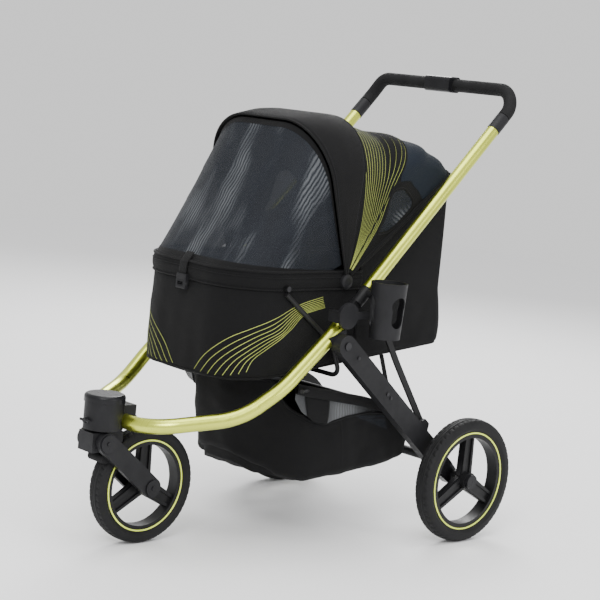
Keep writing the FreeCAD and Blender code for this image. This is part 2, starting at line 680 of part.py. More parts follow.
def arch(width_half, height, corner, side_wall, top_wall, root):
    """The hood's arch as a flat band: X across, Y out from the hood pivot."""
    def outline(x_half, y_top, radius):
        points = [V(x_half, root, 0), V(x_half, y_top, 0), V(-x_half, y_top, 0), V(-x_half, root, 0)]
        return rounded_path(points, [radius, radius])
    outer = outline(width_half, height, corner)
    inner = outline(width_half - side_wall, height - top_wall, corner - side_wall)
    ends = [Part.makeLine(V(side * width_half, root, 0), V(side * (width_half - side_wall), root, 0))
            for side in (1, -1)]
    return Part.Wire(Part.__sortEdges__(outer.Edges + inner.Edges + ends))


def placed_arch(wire, angle):
    """Stand an arch at `angle` degrees above +Y about the hood pivot."""
    turned = wire.copy()
    turned.Placement = FreeCAD.Placement(V(0, *HOOD), FreeCAD.Rotation(V(1, 0, 0), angle))
    return turned


def hood_sector(wire, from_angle, to_angle):
    face = Part.Face(placed_arch(wire, from_angle))
    return face.revolve(V(0, *HOOD), V(1, 0, 0), to_angle - from_angle)


hood_radius = size("hood_radius")
BOW_THICKNESS = 5
BOW_ANGLES = (84, 107)
bow_inside = half + 8.5
bow_outside = bow_inside + BOW_THICKNESS
bow = hood_sector(arch(bow_outside, hood_radius, 104, BOW_THICKNESS, BOW_THICKNESS, 26), *BOW_ANGLES)
foot = [side_point(*HOOD, angle, reach) for angle, reach in ((84, 5), (84, 40), (107, 40), (107, 5))]
for sign in (-1, 1):
    eye = x_rod(sign * bow_inside, sign * bow_outside, *HOOD, 15)
    bow = bow.fuse(eye.fuse(side_plate(foot, sign * bow_inside, sign * bow_outside)))
bow = bow.cut(x_rod(-300, 300, *HOOD, 4.06)).removeSplitter()
feature("hood_bow", bow)
bow_pins = [fused(x_rod(sign * (half - 9), sign * (half + 14), *HOOD, 4),
                  x_rod(sign * (half + 13.8), sign * (half + 16.5), *HOOD, 9)) for sign in (-1, 1)]
feature("hood_bow_pins", Part.makeCompound(bow_pins))

# the shell behind the bow: (angle above +Y, reach of the top, corner radius), boxier towards the rear
SHELL_SECTIONS = ((68, 361, 98), (60, 382, 76), (50, 406, 52), (42, 417, 34), (WING_ANGLE + 0.3, 418, 28))
SHELL_FRONT_ANGLE = 92
shell_half = half + 2.5
shell_wires = [placed_arch(arch(shell_half, reach, corner, cloth, cloth, 40), angle)
               for angle, reach, corner in SHELL_SECTIONS]
front_wire = arch(shell_half, *SHELL_SECTIONS[0][1:], cloth, cloth, 40)
front_part = hood_sector(front_wire, SHELL_SECTIONS[0][0], SHELL_FRONT_ANGLE)
feature("hood_rear_shell", front_part.fuse(Part.makeLoft(shell_wires, True, True)).removeSplitter())

# the screen hangs from a hinge line just in front of the bow: (angle, reach of the top)
SCREEN_REACH = ((108.2, 355), (177, 299))
sections = [placed_arch(arch(half - 2, reach, 96, cloth, cloth, 40), angle) for angle, reach in SCREEN_REACH]
screen = Part.makeLoft(sections, True, True)
FLAP_HINGE = side_point(*HOOD, 108.2, 357)
swing_room = fused(x_rod(-300, 300, *FLAP_HINGE, 318),
                   block((-300, 300), (-600, FLAP_HINGE[0]), (300, 1200)))
screen = screen.common(swing_room).common(block((-300, 300), (-600, 600), (rim_top + 0.6, 1200)))
feature("front_screen", screen)

# ---------------------------------------------------------------- small fittings
buckle = block((-16, 16), (front_y - 16, front_y - 2.2), (578, 612))
buckle = buckle.makeFillet(3, [edge for edge in buckle.Edges if edge.Length > 30])
feature("front_buckle", buckle.cut(block((-9, 9), (front_y - 20, front_y + 4), (586, 594))))

cup_at = (size("cup_x"), size("cup_y"))
cup_radius = size("cup_radius")
cup = Part.makeCone(cup_radius - 7, cup_radius, 128, V(*cup_at, 505))
cup = cup.cut(Part.makeCone(cup_radius - 10, cup_radius - 3, 128, V(*cup_at, 508)))
for turn in range(3):
    window = fused(Part.makeCylinder(17, 60, V(0, 0, -16), V(0, 1, 0)),
                   Part.makeCylinder(20, 60, V(0, 0, 18), V(0, 1, 0)),
                   Part.makeBox(34, 60, 34, V(-17, 0, -16)))
    window.Placement = FreeCAD.Placement(V(*cup_at, 565), FreeCAD.Rotation(V(0, 0, 1), 30 - 120 * turn))
    cup = cup.cut(window)
feature("cup_holder", cup)
loop_at = (-18, 552)
loop_x = (size("leg_inner_x") + 6.5, size("leg_inner_x") + 14)
loop = x_rod(*loop_x, *loop_at, 30)
arm = block(loop_x, (loop_at[0] + 24, cup_at[1] - 22), (loop_at[1] - 8, loop_at[1] + 8))
clip = block((size("frame_tube_x") - 6, loop_x[0] + 1), (loop_at[0] - 28, loop_at[0] - 12), (536, 562))
loop = fused(loop, arm, clip)
loop = loop.cut(tube(LOWER_PATH, LOWER_RADII, size("frame_tube_radius") + 0.05))
loop = loop.cut(Part.makeCone(cup_radius - 7, cup_radius, 128, V(*cup_at, 505)))
loop = max(loop.Solids, key=lambda solid: solid.Volume)
feature("cup_holder_bracket", loop)

# ---------------------------------------------------------------- check and write
doc.recompute()
for obj in doc.Objects:
    bad = [state for state in obj.State if state in ("Invalid", "Error")]
    if bad:
        raise RuntimeError("%s is %s" % (obj.Label, bad))
labels = [obj.Label for obj in NODES]
if len(set(labels)) != len(labels):
    raise RuntimeError("two pieces share a name")
for obj in NODES:
    if obj.Shape.isNull() or not obj.Shape.isValid():
        raise RuntimeError("%s has no valid shape" % obj.Label)

os.makedirs("parts", exist_ok=True)
for obj in NODES:
    obj.Shape.exportStep("parts/%s.step" % obj.Label)
whole = Part.makeCompound([obj.Shape for obj in NODES]).BoundBox
print("pieces", len(NODES), "box", whole)
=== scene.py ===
import json
import math

import bpy
from mathutils import Matrix, Vector, noise


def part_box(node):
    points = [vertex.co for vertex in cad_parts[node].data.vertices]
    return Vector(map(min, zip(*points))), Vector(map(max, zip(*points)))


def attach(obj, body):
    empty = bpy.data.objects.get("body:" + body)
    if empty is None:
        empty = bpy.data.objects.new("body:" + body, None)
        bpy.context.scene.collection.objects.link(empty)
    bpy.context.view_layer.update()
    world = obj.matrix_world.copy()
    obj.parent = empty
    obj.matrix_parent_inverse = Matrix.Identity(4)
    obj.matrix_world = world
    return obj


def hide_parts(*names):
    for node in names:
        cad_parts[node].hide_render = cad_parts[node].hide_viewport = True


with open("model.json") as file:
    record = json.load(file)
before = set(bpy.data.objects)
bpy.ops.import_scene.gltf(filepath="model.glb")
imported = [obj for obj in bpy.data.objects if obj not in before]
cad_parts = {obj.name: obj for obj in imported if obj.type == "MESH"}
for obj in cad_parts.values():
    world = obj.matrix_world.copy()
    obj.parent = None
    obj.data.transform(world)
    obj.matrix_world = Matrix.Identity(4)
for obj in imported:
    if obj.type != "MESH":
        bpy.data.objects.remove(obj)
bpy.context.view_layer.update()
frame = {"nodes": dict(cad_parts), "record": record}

# ------------------------------------------------------------------ places taken from the frame
SIDES = (("left", 1), ("right", -1))
joint_at = {joint["name"]: joint for joint in frame["record"]["behaviour"]["joints"]}


def pivot(name):
    """The (y, z) of a joint that turns about X."""
    return Vector(joint_at[name]["pos_m"][1:])


def corners_of(name):
    """The low and the high corner of a CAD node's box."""
    low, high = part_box(name)
    return Vector(low), Vector(high)


HOOD = pivot("hood_fold")
tub_low, tub_high = corners_of("cabin_tub")
rim_low, rim_high = corners_of("cabin_rim")
bow_high = corners_of("hood_bow")[1]
basket_high = corners_of("basket")[1]
HALF = tub_high.x
FRONT_Y = rim_low.y + 0.002
REAR_Y = rim_high.y
RIM_BASE = rim_low.z
RIM_TOP = rim_high.z
BOW_RADIUS = bow_high.z - HOOD.y
# corner radii of the cabin in plan, its step at the rear and the round of its bottom edge
FRONT_CORNER = 0.126
REAR_CORNER = 0.026
REAR_OVERHANG = 0.016
EDGE_ROUND = 0.016


# ------------------------------------------------------------------ material nodes
def new_material(name, colour, roughness, metallic=0.0, specular=0.19):
    """A Principled material and its shader node."""
    material = bpy.data.materials.new(name)
    material.use_nodes = True
    shader = material.node_tree.nodes["Principled BSDF"]
    shader.inputs["Base Color"].default_value = (*colour, 1.0)
    shader.inputs["Roughness"].default_value = roughness
    shader.inputs["Metallic"].default_value = metallic
    shader.inputs["Specular IOR Level"].default_value = specular
    return material, shader


def node(material, kind, **values):
    """Add one node; inputs are set by name."""
    made = material.node_tree.nodes.new(kind)
    for key, value in values.items():
        if key in made.inputs:
            made.inputs[key].default_value = value
        else:
            setattr(made, key, value)
    return made


def link(material, source, target):
    material.node_tree.links.new(source, target)


def coordinates(material, kind="Object", scale=(1, 1, 1)):
    """Object or UV coordinates, in metres, stretched by scale."""
    where = node(material, "ShaderNodeTexCoord")
    mapping = node(material, "ShaderNodeMapping")
    mapping.inputs["Scale"].default_value = scale
    link(material, where.outputs[kind], mapping.inputs["Vector"])
    return mapping.outputs["Vector"]


def noise_of(material, vector, scale, detail=3.0, roughness=0.5):
    made = node(material, "ShaderNodeTexNoise", Scale=scale, Detail=detail, Roughness=roughness)
    link(material, vector, made.inputs["Vector"])
    return made.outputs["Fac"]


def ramp(material, source, low, high, from_low=0.3, from_high=0.7):
    """Map a grey value to a range of numbers."""
    made = node(material, "ShaderNodeMapRange")
    made.inputs["From Min"].default_value = from_low
    made.inputs["From Max"].default_value = from_high
    made.inputs["To Min"].default_value = low
    made.inputs["To Max"].default_value = high
    link(material, source, made.inputs["Value"])
    return made.outputs["Result"]


def math_of(material, operation, first, second):
    made = node(material, "ShaderNodeMath", operation=operation)
    for index, value in enumerate((first, second)):
        if isinstance(value, (int, float)):
            made.inputs[index].default_value = value
        else:
            link(material, value, made.inputs[index])
    return made.outputs["Value"]


def mix_colour(material, factor, dark, light):
    made = node(material, "ShaderNodeMix", data_type="RGBA")
    made.inputs["A"].default_value = (*dark, 1.0)
    made.inputs["B"].default_value = (*light, 1.0)
    link(material, factor, made.inputs["Factor"])
    return made.outputs["Result"]


def tint_by(material, shader, source, dark, light):
    """Let a value from 0 to 1 carry the base colour from dark to light."""
    link(material, mix_colour(material, source, dark, light), shader.inputs["Base Color"])


def gloss_by(material, shader, source, low, high):
    """Let a grey value carry the roughness from low to high."""
    link(material, ramp(material, source, low, high), shader.inputs["Roughness"])


def add_bump(material, shader, height, strength, distance):
    made = node(material, "ShaderNodeBump")
    made.inputs["Strength"].default_value = strength
    made.inputs["Distance"].default_value = distance
    link(material, height, made.inputs["Height"])
    link(material, made.outputs["Normal"], shader.inputs["Normal"])


def moulded_plastic(name, colour, roughness, grain=900.0, strength=0.25):
    """Moulded plastic: fine grain, faint mottling, scuffs that change the gloss."""
    material, shader = new_material(name, colour, roughness)
    where = coordinates(material)
    mottle = noise_of(material, where, 14.0)
    light = tuple(min(1.0, value * 1.5 + 0.004) for value in colour)
    tint_by(material, shader, ramp(material, mottle, 0.0, 1.0), colour, light)
    scuff = noise_of(material, where, 60.0, 6.0, 0.7)
    gloss_by(material, shader, scuff, roughness - 0.06, roughness + 0.12)
    add_bump(material, shader, noise_of(material, where, grain, 2.0), strength, 0.0003)
    return material


def anodised_metal(name, colour, roughness):
    """Satin anodised aluminium with drawn streaks and slight tint changes."""
    material, shader = new_material(name, colour, roughness, 1.0)
    streak = noise_of(material, coordinates(material, "Object", (260, 12, 12)), 1.0, 4.0, 0.6)
    gloss_by(material, shader, streak, roughness - 0.05, roughness + 0.09)
    tint = noise_of(material, coordinates(material), 7.0)
    deep = tuple(value * 0.86 for value in colour)
    tint_by(material, shader, ramp(material, tint, 0.0, 1.0), deep, colour)
    shader.inputs["Coat Weight"].default_value = 0.25
    shader.inputs["Coat Roughness"].default_value = 0.12
    add_bump(material, shader, streak, 0.02, 0.0001)
    return material


def steel(name, colour, roughness):
    """Plated bolt steel with a turned finish."""
    material, shader = new_material(name, colour, roughness, 1.0)
    where = coordinates(material)
    turned = noise_of(material, where, 400.0, 3.0, 0.6)
    gloss_by(material, shader, turned, roughness - 0.08, roughness + 0.1)
    dark = tuple(value * 0.6 for value in colour)
    tint_by(material, shader, ramp(material, noise_of(material, where, 40.0), 0, 1), dark, colour)
    add_bump(material, shader, turned, 0.15, 0.0002)
    return material


def tyre_rubber(name):
    """Black rubber: fine pores, dusty variation."""
    material, shader = new_material(name, (0.007, 0.007, 0.0075), 0.62)
    where = coordinates(material)
    dust = noise_of(material, where, 30.0, 5.0, 0.65)
    tint_by(material, shader, ramp(material, dust, 0, 1), (0.0045, 0.0045, 0.005), (0.013, 0.013, 0.0135))
    gloss_by(material, shader, dust, 0.52, 0.74)
    add_bump(material, shader, noise_of(material, where, 700.0, 2.0), 0.3, 0.0004)
    return material


def grip_foam(name):
    """Closed-cell foam: soft pitted skin."""
    material, shader = new_material(name, (0.006, 0.006, 0.0065), 0.82)
    where = coordinates(material)
    cells = node(material, "ShaderNodeTexVoronoi", Scale=850.0)
    link(material, where, cells.inputs["Vector"])
    gloss_by(material, shader, noise_of(material, where, 25.0), 0.72, 0.92)
    tint_by(material, shader, cells.outputs["Distance"], (0.004, 0.004, 0.0045), (0.014, 0.014, 0.0145))
    add_bump(material, shader, cells.outputs["Distance"], 0.5, 0.0006)
    return material


def weave_height(material, where, pitch):
    """Plain weave: two sets of threads that pass over each other."""
    parts = node(material, "ShaderNodeSeparateXYZ")
    link(material, where, parts.inputs["Vector"])
    turns = 2 * math.pi / pitch
    across = math_of(material, "SINE", math_of(material, "MULTIPLY", parts.outputs["X"], turns), 0.0)
    along = math_of(material, "SINE", math_of(material, "MULTIPLY", parts.outputs["Y"], turns), 0.0)
    return math_of(material, "MULTIPLY", across, along)


def cloth(name, dark, light, pitch=0.0011, roughness=0.86, sheen=0.035, strength=0.5, kind="UV"):
    """Woven polyester: thread relief, thread-to-thread shade, faded patches and a soft sheen."""
    material, shader = new_material(name, dark, roughness)
    height = weave_height(material, coordinates(material, kind), pitch)
    slub = noise_of(material, coordinates(material, kind, (900, 60, 1)), 1.0, 3.0)
    patches = noise_of(material, coordinates(material), 6.0, 4.0)
    shade = math_of(material, "ADD", math_of(material, "MULTIPLY", height, 0.25),
                    math_of(material, "MULTIPLY", math_of(material, "ADD", slub, patches), 0.5))
    tint_by(material, shader, ramp(material, shade, 0, 1, 0.2, 0.8), dark, light)
    gloss_by(material, shader, patches, roughness - 0.06, roughness + 0.06)
    shader.inputs["Specular IOR Level"].default_value = 0.14
    shader.inputs["Sheen Weight"].default_value = sheen
    shader.inputs["Sheen Roughness"].default_value = 0.4
    add_bump(material, shader, height, strength, 0.0004)
    return material


def netting(name, colour, light, cover_low, cover_high, pitch=0.0024):
    """Open mesh: threads with holes between them, and painted light: pale moiré ripples, the light that shows
    where two layers cross, painted into the colour.
    """
    material, shader = new_material(name, colour, 0.6)
    where = coordinates(material, "UV")
    holes = weave_height(material, where, pitch)
    drift = noise_of(material, coordinates(material, "UV", (9, 3.2, 1)), 1.0, 2.0)
    # streak masks where the painted moiré light falls; drift also gives the mesh its real tone
    streak = ramp(material, drift, 0.0, 1.0, 0.50, 0.60)
    painted_moire_bands = node(material, "ShaderNodeTexWave", Scale=36.0, Distortion=7.0)
    painted_moire_bands.inputs["Detail Scale"].default_value = 0.5
    link(material, where, painted_moire_bands.inputs["Vector"])
    # painted light: pale moiré streaks that stand in for light through two crossing layers
    pale = math_of(material, "MULTIPLY", streak, painted_moire_bands.outputs["Fac"])
    base = mix_colour(material, ramp(material, drift, 0, 1), colour, light)
    shade = node(material, "ShaderNodeMix", data_type="RGBA")
    # pale grey of the painted moiré light, mixed into the base colour
    shade.inputs["B"].default_value = (0.19, 0.20, 0.21, 1.0)
    link(material, base, shade.inputs["A"])
    link(material, math_of(material, "MULTIPLY", pale, 0.42), shade.inputs["Factor"])
    link(material, shade.outputs["Result"], shader.inputs["Base Color"])
    link(material, ramp(material, holes, cover_low, cover_high, -0.35, 0.25), shader.inputs["Alpha"])
    gloss_by(material, shader, drift, 0.52, 0.66)
    shader.inputs["Specular IOR Level"].default_value = 0.2
    shader.inputs["Sheen Weight"].default_value = 0.03
    add_bump(material, shader, holes, 0.4, 0.0004)
    return material


MAT = {
    "lime_tube": anodised_metal("lime_anodised", (0.66, 0.72, 0.095), 0.29),
    "black_metal": moulded_plastic("black_powder_coat", (0.007, 0.007, 0.0075), 0.44, 1300.0, 0.2),
    "bolt_steel": steel("bolt_steel_dark", (0.055, 0.055, 0.058), 0.40),
    "black_plastic": moulded_plastic("black_moulded_plastic", (0.007, 0.007, 0.008), 0.48),
    "gloss_black_plastic": moulded_plastic("black_satin_plastic", (0.0055, 0.0055, 0.0065), 0.28,
                                           1500.0, 0.1),
    "tyre_rubber": tyre_rubber("tyre_rubber_black"),
    "rim_plastic": moulded_plastic("rim_satin_black", (0.0045, 0.0045, 0.005), 0.38, 1200.0, 0.15),
    "lime_stripe": moulded_plastic("lime_stripe_paint", (0.58, 0.70, 0.10), 0.35, 800.0, 0.1),
    "grip_foam": grip_foam("grip_foam_black"),
    "black_cloth": cloth("black_woven_cloth", (0.0030, 0.0030, 0.0032), (0.0075, 0.0075, 0.0080)),
    # both mesh materials carry painted moiré light in their colour
    "dark_mesh": netting("dark_blue_mesh", (0.0035, 0.0050, 0.0080), (0.010, 0.013, 0.019), 0.80, 0.985),
    "gusset_mesh": netting("pale_gusset_mesh", (0.045, 0.047, 0.05), (0.09, 0.092, 0.095), 0.80, 1.05),
    "pad_cloth": cloth("pad_soft_cloth", (0.010, 0.010, 0.011), (0.024, 0.024, 0.026), 0.0018, 0.9, 0.06,
                       kind="Object"),
    "blue_cloth": cloth("blue_black_cloth", (0.0050, 0.0078, 0.0130), (0.0100, 0.0150, 0.0240), 0.0013, 0.8),
    "binding": cloth("binding_tape_cloth", (0.0025, 0.0025, 0.0027), (0.0065, 0.0065, 0.0070), 0.0007, 0.70),
    "print": moulded_plastic("lime_print_ink", (0.30, 0.34, 0.08), 0.6, 1600.0, 0.4),
    "thread": moulded_plastic("black_thread", (0.012, 0.012, 0.013), 0.7, 2000.0, 0.3),
}

slot_of = {row["node"]: row["material_slot"] for row in frame["record"]["subparts"]}


def finish_cad_nodes():
    """Give every carried-over CAD node its material, soft shading and a small edge round."""
    for name, obj in frame["nodes"].items():
        obj.data.materials.clear()
        obj.data.materials.append(MAT[slot_of[name]])
        for face in obj.data.polygons:
            face.use_smooth = True
        obj.data.set_sharp_from_angle(angle=math.radians(32))
        edge = obj.modifiers.new("edge_round", "BEVEL")
        edge.width = 0.0009
        edge.segments = 2
        edge.limit_method = "ANGLE"
        edge.angle_limit = math.radians(40)
        edge.harden_normals = False


finish_cad_nodes()


# ------------------------------------------------------------------ mesh helpers
def make_mesh(name, points, faces, material, uvs=None, smooth=True):
    mesh = bpy.data.meshes.new(name)
    mesh.from_pydata([tuple(point) for point in points], [], faces)
    if uvs:
        layer = mesh.uv_layers.new(name="metres")
        for loop in mesh.loops:
            layer.data[loop.index].uv = uvs[loop.vertex_index]
    for face in mesh.polygons:
        face.use_smooth = smooth
    mesh.update()
    obj = bpy.data.objects.new(name, mesh)
    bpy.context.scene.collection.objects.link(obj)
    mesh.materials.append(MAT[material])
    return obj


def surface(name, at, across, along, material, thickness=0.0):
    """A sheet over a grid: at(u, v) gives a point for u and v from 0 to 1; UVs are in metres."""
    points = [[at(i / across, j / along) for j in range(along + 1)] for i in range(across + 1)]
    uvs, total_u = [], 0.0
    middle = along // 2
    for i in range(across + 1):
        if i:
            total_u += (points[i][middle] - points[i - 1][middle]).length
        total_v = 0.0
        for j in range(along + 1):
            if j:
                total_v += (points[i][j] - points[i][j - 1]).length
            uvs.append((total_u, total_v))
    row = along + 1
    faces = [(i * row + j, (i + 1) * row + j, (i + 1) * row + j + 1, i * row + j + 1)
             for i in range(across) for j in range(along)]
    obj = make_mesh(name, [point for line in points for point in line], faces, material, uvs)
    if thickness:
        thicken(obj, thickness, -1.0)
    return obj


def thicken(obj, thickness, offset):
    """Give a sheet its thickness, on the side that offset names."""
    solid = obj.modifiers.new("cloth_thickness", "SOLIDIFY")
    solid.thickness = thickness
    solid.offset = offset


def cord_piece(name, points, radius, material, cyclic=False):
    """A thin tube through points: piping, a seam or a wire."""
    curve = bpy.data.curves.new(name, "CURVE")
    curve.dimensions = "3D"
    curve.bevel_depth = radius
    curve.bevel_resolution = 3
    curve.use_fill_caps = True
    line = curve.splines.new("POLY")
    line.points.add(len(points) - 1)
    for place, point in zip(line.points, points):
        place.co = (*point, 1.0)
    line.use_cyclic_u = cyclic
    line.use_smooth = True
    obj = bpy.data.objects.new(name, curve)
    bpy.context.scene.collection.objects.link(obj)
    curve.materials.append(MAT[material])
    return obj


def ribbon(name, lines, width, material, normal_of):
    """Flat strips laid on a surface; each line is a list of points, normal_of gives the way up."""
    points, faces = [], []
    for line in lines:
        start = len(points)
        for k, point in enumerate(line):
            ahead = line[min(k + 1, len(line) - 1)] - line[max(k - 1, 0)]
            side = ahead.cross(normal_of(point)).normalized() * (width / 2)
            points += [point - side, point + side]
        faces += [(start + 2 * k, start + 2 * k + 1, start + 2 * k + 3, start + 2 * k + 2)
                  for k in range(len(line) - 1)]
    return make_mesh(name, points, faces, material)


def stitches(name, line, pitch, length, radius, body, lift):
    """A row of short raised stitches along a line of points."""
    points, faces = [], []
    run, gap_at = 0.0, 0.0
    for here, there in zip(line, line[1:]):
        span = (there - here).length
        while gap_at <= run + span and span > 1e-6:
            part = (gap_at - run) / span
            middle = here.lerp(there, part)
            along = (there - here).normalized()
            up = lift(middle)
            side = along.cross(up).normalized()
            base = len(points)
            for end in (-1, 1):
                centre = middle + along * (end * length / 2)
                points += [centre - side * radius, centre + up * radius * 0.9, centre + side * radius]
            faces += [(base, base + 1, base + 4, base + 3), (base + 1, base + 2, base + 5, base + 4)]
            gap_at += pitch
        run += span
    return soft(make_mesh(name, points, faces, "thread"), body)


def ripple(point, size, seed):
    """Smooth noise from -1 to 1."""
    return noise.noise(Vector((point.x / size + seed, point.y / size, point.z / size)))


def soft(obj, body):
    """Let a piece ride on a body."""
    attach(obj, body)
    return obj


def piping(name, line, radius, body="chassis", cyclic=False):
    """A thin tube of binding tape along a line of points."""
    return soft(cord_piece(name, line, radius, "binding", cyclic), body)


def cloth_sheet(name, at, across, along, thickness=0.0, material="black_cloth"):
    """A surface that rides on the chassis."""
    return soft(surface(name, at, across, along, material, thickness), "chassis")


def smooth_line(points, steps, closed=False):
    """A Catmull-Rom curve through 2-D points."""
    count = len(points)
    spans = count if closed else count - 1

    def pick(index):
        return points[index % count] if closed else points[min(max(index, 0), count - 1)]
    line = []
    for k in range(steps if closed else steps + 1):
        place = spans * k / steps
        i = min(int(place), spans - 1)
        t = place - i
        p0, p1, p2, p3 = pick(i - 1), pick(i), pick(i + 1), pick(i + 2)
        line.append(tuple(0.5 * (2 * b + (c - a) * t + (2 * a - 5 * b + 4 * c - d) * t * t
                                 + (3 * b - a - 3 * c + d) * t ** 3)
                          for a, b, c, d in zip(p0, p1, p2, p3)))
    return line


# ------------------------------------------------------------------ plan outline of the cabin
def plan_outline(half, front, rear, front_corner, rear_corner):
    """The cabin in plan as a list of straight runs and arcs, from the front middle round by the left."""
    return [("line", (0, front), (half - front_corner, front)),
            ("arc", (half - front_corner, front + front_corner), front_corner, -90),
            ("line", (half, front + front_corner), (half, rear - rear_corner)),
            ("arc", (half - rear_corner, rear - rear_corner), rear_corner, 0),
            ("line", (half - rear_corner, rear), (0, rear))]


def run_length(run):
    if run[0] == "line":
        return math.dist(run[1], run[2])
    return math.radians(90) * run[2]


def plan_at(outline, distance):
    """(x, y, normal x, normal y) at a distance along half the outline."""
    for run in outline:
        length = run_length(run)
        if distance <= length or run is outline[-1]:
            part = min(1.0, distance / length)
            if run[0] == "line":
                (ax, ay), (bx, by) = run[1], run[2]
                nx, ny = (by - ay) / length, -(bx - ax) / length
                return ax + (bx - ax) * part, ay + (by - ay) * part, nx, ny
            turn = math.radians(run[3] + 90 * part)
            return (run[1][0] + run[2] * math.cos(turn), run[1][1] + run[2] * math.sin(turn),
                    math.cos(turn), math.sin(turn))
        distance -= length


def plan_point(outline, distance):
    """The same for signed distances: negative goes round by the right."""
    x, y, nx, ny = plan_at(outline, abs(distance))
    sign = 1 if distance >= 0 else -1
    return sign * x, y, sign * nx, ny


def plan_length(outline, y_end):
    """Distance along the half outline at which the straight side reaches y_end."""
    return run_length(outline[0]) + run_length(outline[1]) + (y_end - outline[2][1][1])


TUB_PLAN = plan_outline(HALF, FRONT_Y, REAR_Y + REAR_OVERHANG, FRONT_CORNER, REAR_CORNER)
TUB_TOTAL = sum(run_length(run) for run in TUB_PLAN)
WING_START_Y = HOOD.x + 0.030
WING_SLOPE = math.tan(math.radians(37.5))


def tub_floor(y):
    """Height of the tub's bottom edge at y: level at the front, then rising to the rear."""
    front = FRONT_Y + 0.028
    return tub_low.z + max(0.0, y - front) * 0.1105


def rear_lean(z):
    """How far the rear wall stands forward of the tub's rearmost line."""
    return REAR_OVERHANG * min(1.0, max(0.0, (z - 0.50) / 0.10)) + 0.003 * max(0.0, (z - 0.602) / 0.27)


def tub_point(distance, z, lift=0.0):
    """A point of the tub's cloth: side distance, height, lift along the normal."""
    x, y, nx, ny = plan_point(TUB_PLAN, distance)
    low = tub_floor(y)
    tuck = max(0.0, (low + EDGE_ROUND - z) / EDGE_ROUND)
    inward = EDGE_ROUND * (1 - math.sqrt(max(0.0, 1 - min(1.0, tuck) ** 2))) if tuck else 0.0
    rear_part = max(0.0, min(1.0, (y - (REAR_Y - REAR_CORNER)) / (REAR_CORNER + REAR_OVERHANG)))
    height = (z - low) / max(0.05, RIM_BASE - low)
    sag = 0.0028 * ripple(Vector((x, y, z)), 0.11, 3.1) + 0.0014 * ripple(Vector((x, y, z)), 0.04, 8.2)
    belly = 0.0035 * math.sin(math.pi * min(1.0, max(0.0, height)))
    out = lift + (sag + belly) * min(1.0, max(0.0, 3.0 * (1.02 - height))) * (1.0 if z < RIM_BASE else 0.0)
    out -= inward
    return Vector((x + nx * out, y + ny * out - rear_lean(z) * rear_part, z))


def tub_normal(point):
    """Outward direction of the cabin's side at a point."""
    corner_x = HALF - FRONT_CORNER
    corner_y = FRONT_Y + FRONT_CORNER
    if point.y < corner_y:
        x = math.copysign(max(0.0, abs(point.x) - corner_x), point.x)
        return Vector((x, point.y - corner_y, 0)).normalized()
    return Vector((math.copysign(1.0, point.x), 0, 0))


SEAM_Y = WING_START_Y + 0.018
side_seam = plan_length(TUB_PLAN, SEAM_Y)


def cabin_tub():
    """The tub's front and side cloth, its floor, seams and piping."""
    def wall(u, v):
        distance = side_seam * (2 * u - 1)
        y = plan_point(TUB_PLAN, distance)[1]
        low = tub_floor(y)
        return tub_point(distance, low + (RIM_BASE + 0.002 - low) * v ** 1.35)

    front = cloth_sheet("cabin_tub_front_cloth", wall, 150, 30, 0.0016)

    def floor(u, v):
        distance = TUB_TOTAL * v
        x, y, nx, ny = plan_point(TUB_PLAN, distance)
        x -= nx * EDGE_ROUND
        y -= ny * EDGE_ROUND
        point = Vector((x * (2 * u - 1), y, tub_floor(y) + 0.0003))
        droop = 0.006 * math.sin(math.pi * u) * math.sin(math.pi * v)
        return point - Vector((0, 0, droop - 0.001 * ripple(point, 0.06, 2.0)))

    cloth_sheet("cabin_tub_floor_cloth", floor, 24, 60, 0.002)
    edge = []
    for k in range(161):
        distance = TUB_TOTAL * (2 * k / 160 - 1)
        low = tub_floor(plan_point(TUB_PLAN, distance)[1])
        edge.append(tub_point(distance, low + 0.005, 0.0015))
    piping("cabin_tub_bottom_piping", edge, 0.0026)
    for side_name, sign in SIDES:
        line = [tub_point(sign * side_seam, tub_floor(SEAM_Y) + 0.004 + 0.16 * k / 20, 0.001)
                for k in range(21)]
        piping("tub_side_seam_" + side_name, line, 0.0014)
    return front


def wing_top(y):
    """Height of the rear panel's top edge: a straight diagonal, level across the rear."""
    return min(HOOD.y + (y - HOOD.x) * WING_SLOPE, 0.8725)


def cabin_rear():
    """The rear and side panel: one cloth from the diagonal edge down to the tub's floor."""
    def wall(u, v):
        part = 2 * u if u <= 0.5 else 2 * (1 - u)
        distance = side_seam + (TUB_TOTAL - side_seam) * part
        if u > 0.5:
            distance = -distance
        y = plan_point(TUB_PLAN, distance)[1]
        low = tub_floor(y)
        top = max(RIM_TOP + 0.004, wing_top(y - 0.006))
        z = low + (top - low) * v ** 1.15
        return tub_point(distance, z, 0.0022 + 0.0012 * ripple(Vector((0, y, z)), 0.09, 5.5))

    panel = cloth_sheet("cabin_rear_panel_cloth", wall, 150, 44, 0.0016)
    edge = [wall(k / 160, 1.0) + Vector((0, 0, 0.001)) for k in range(161)]
    piping("rear_panel_top_binding", edge, 0.0042)
    return panel


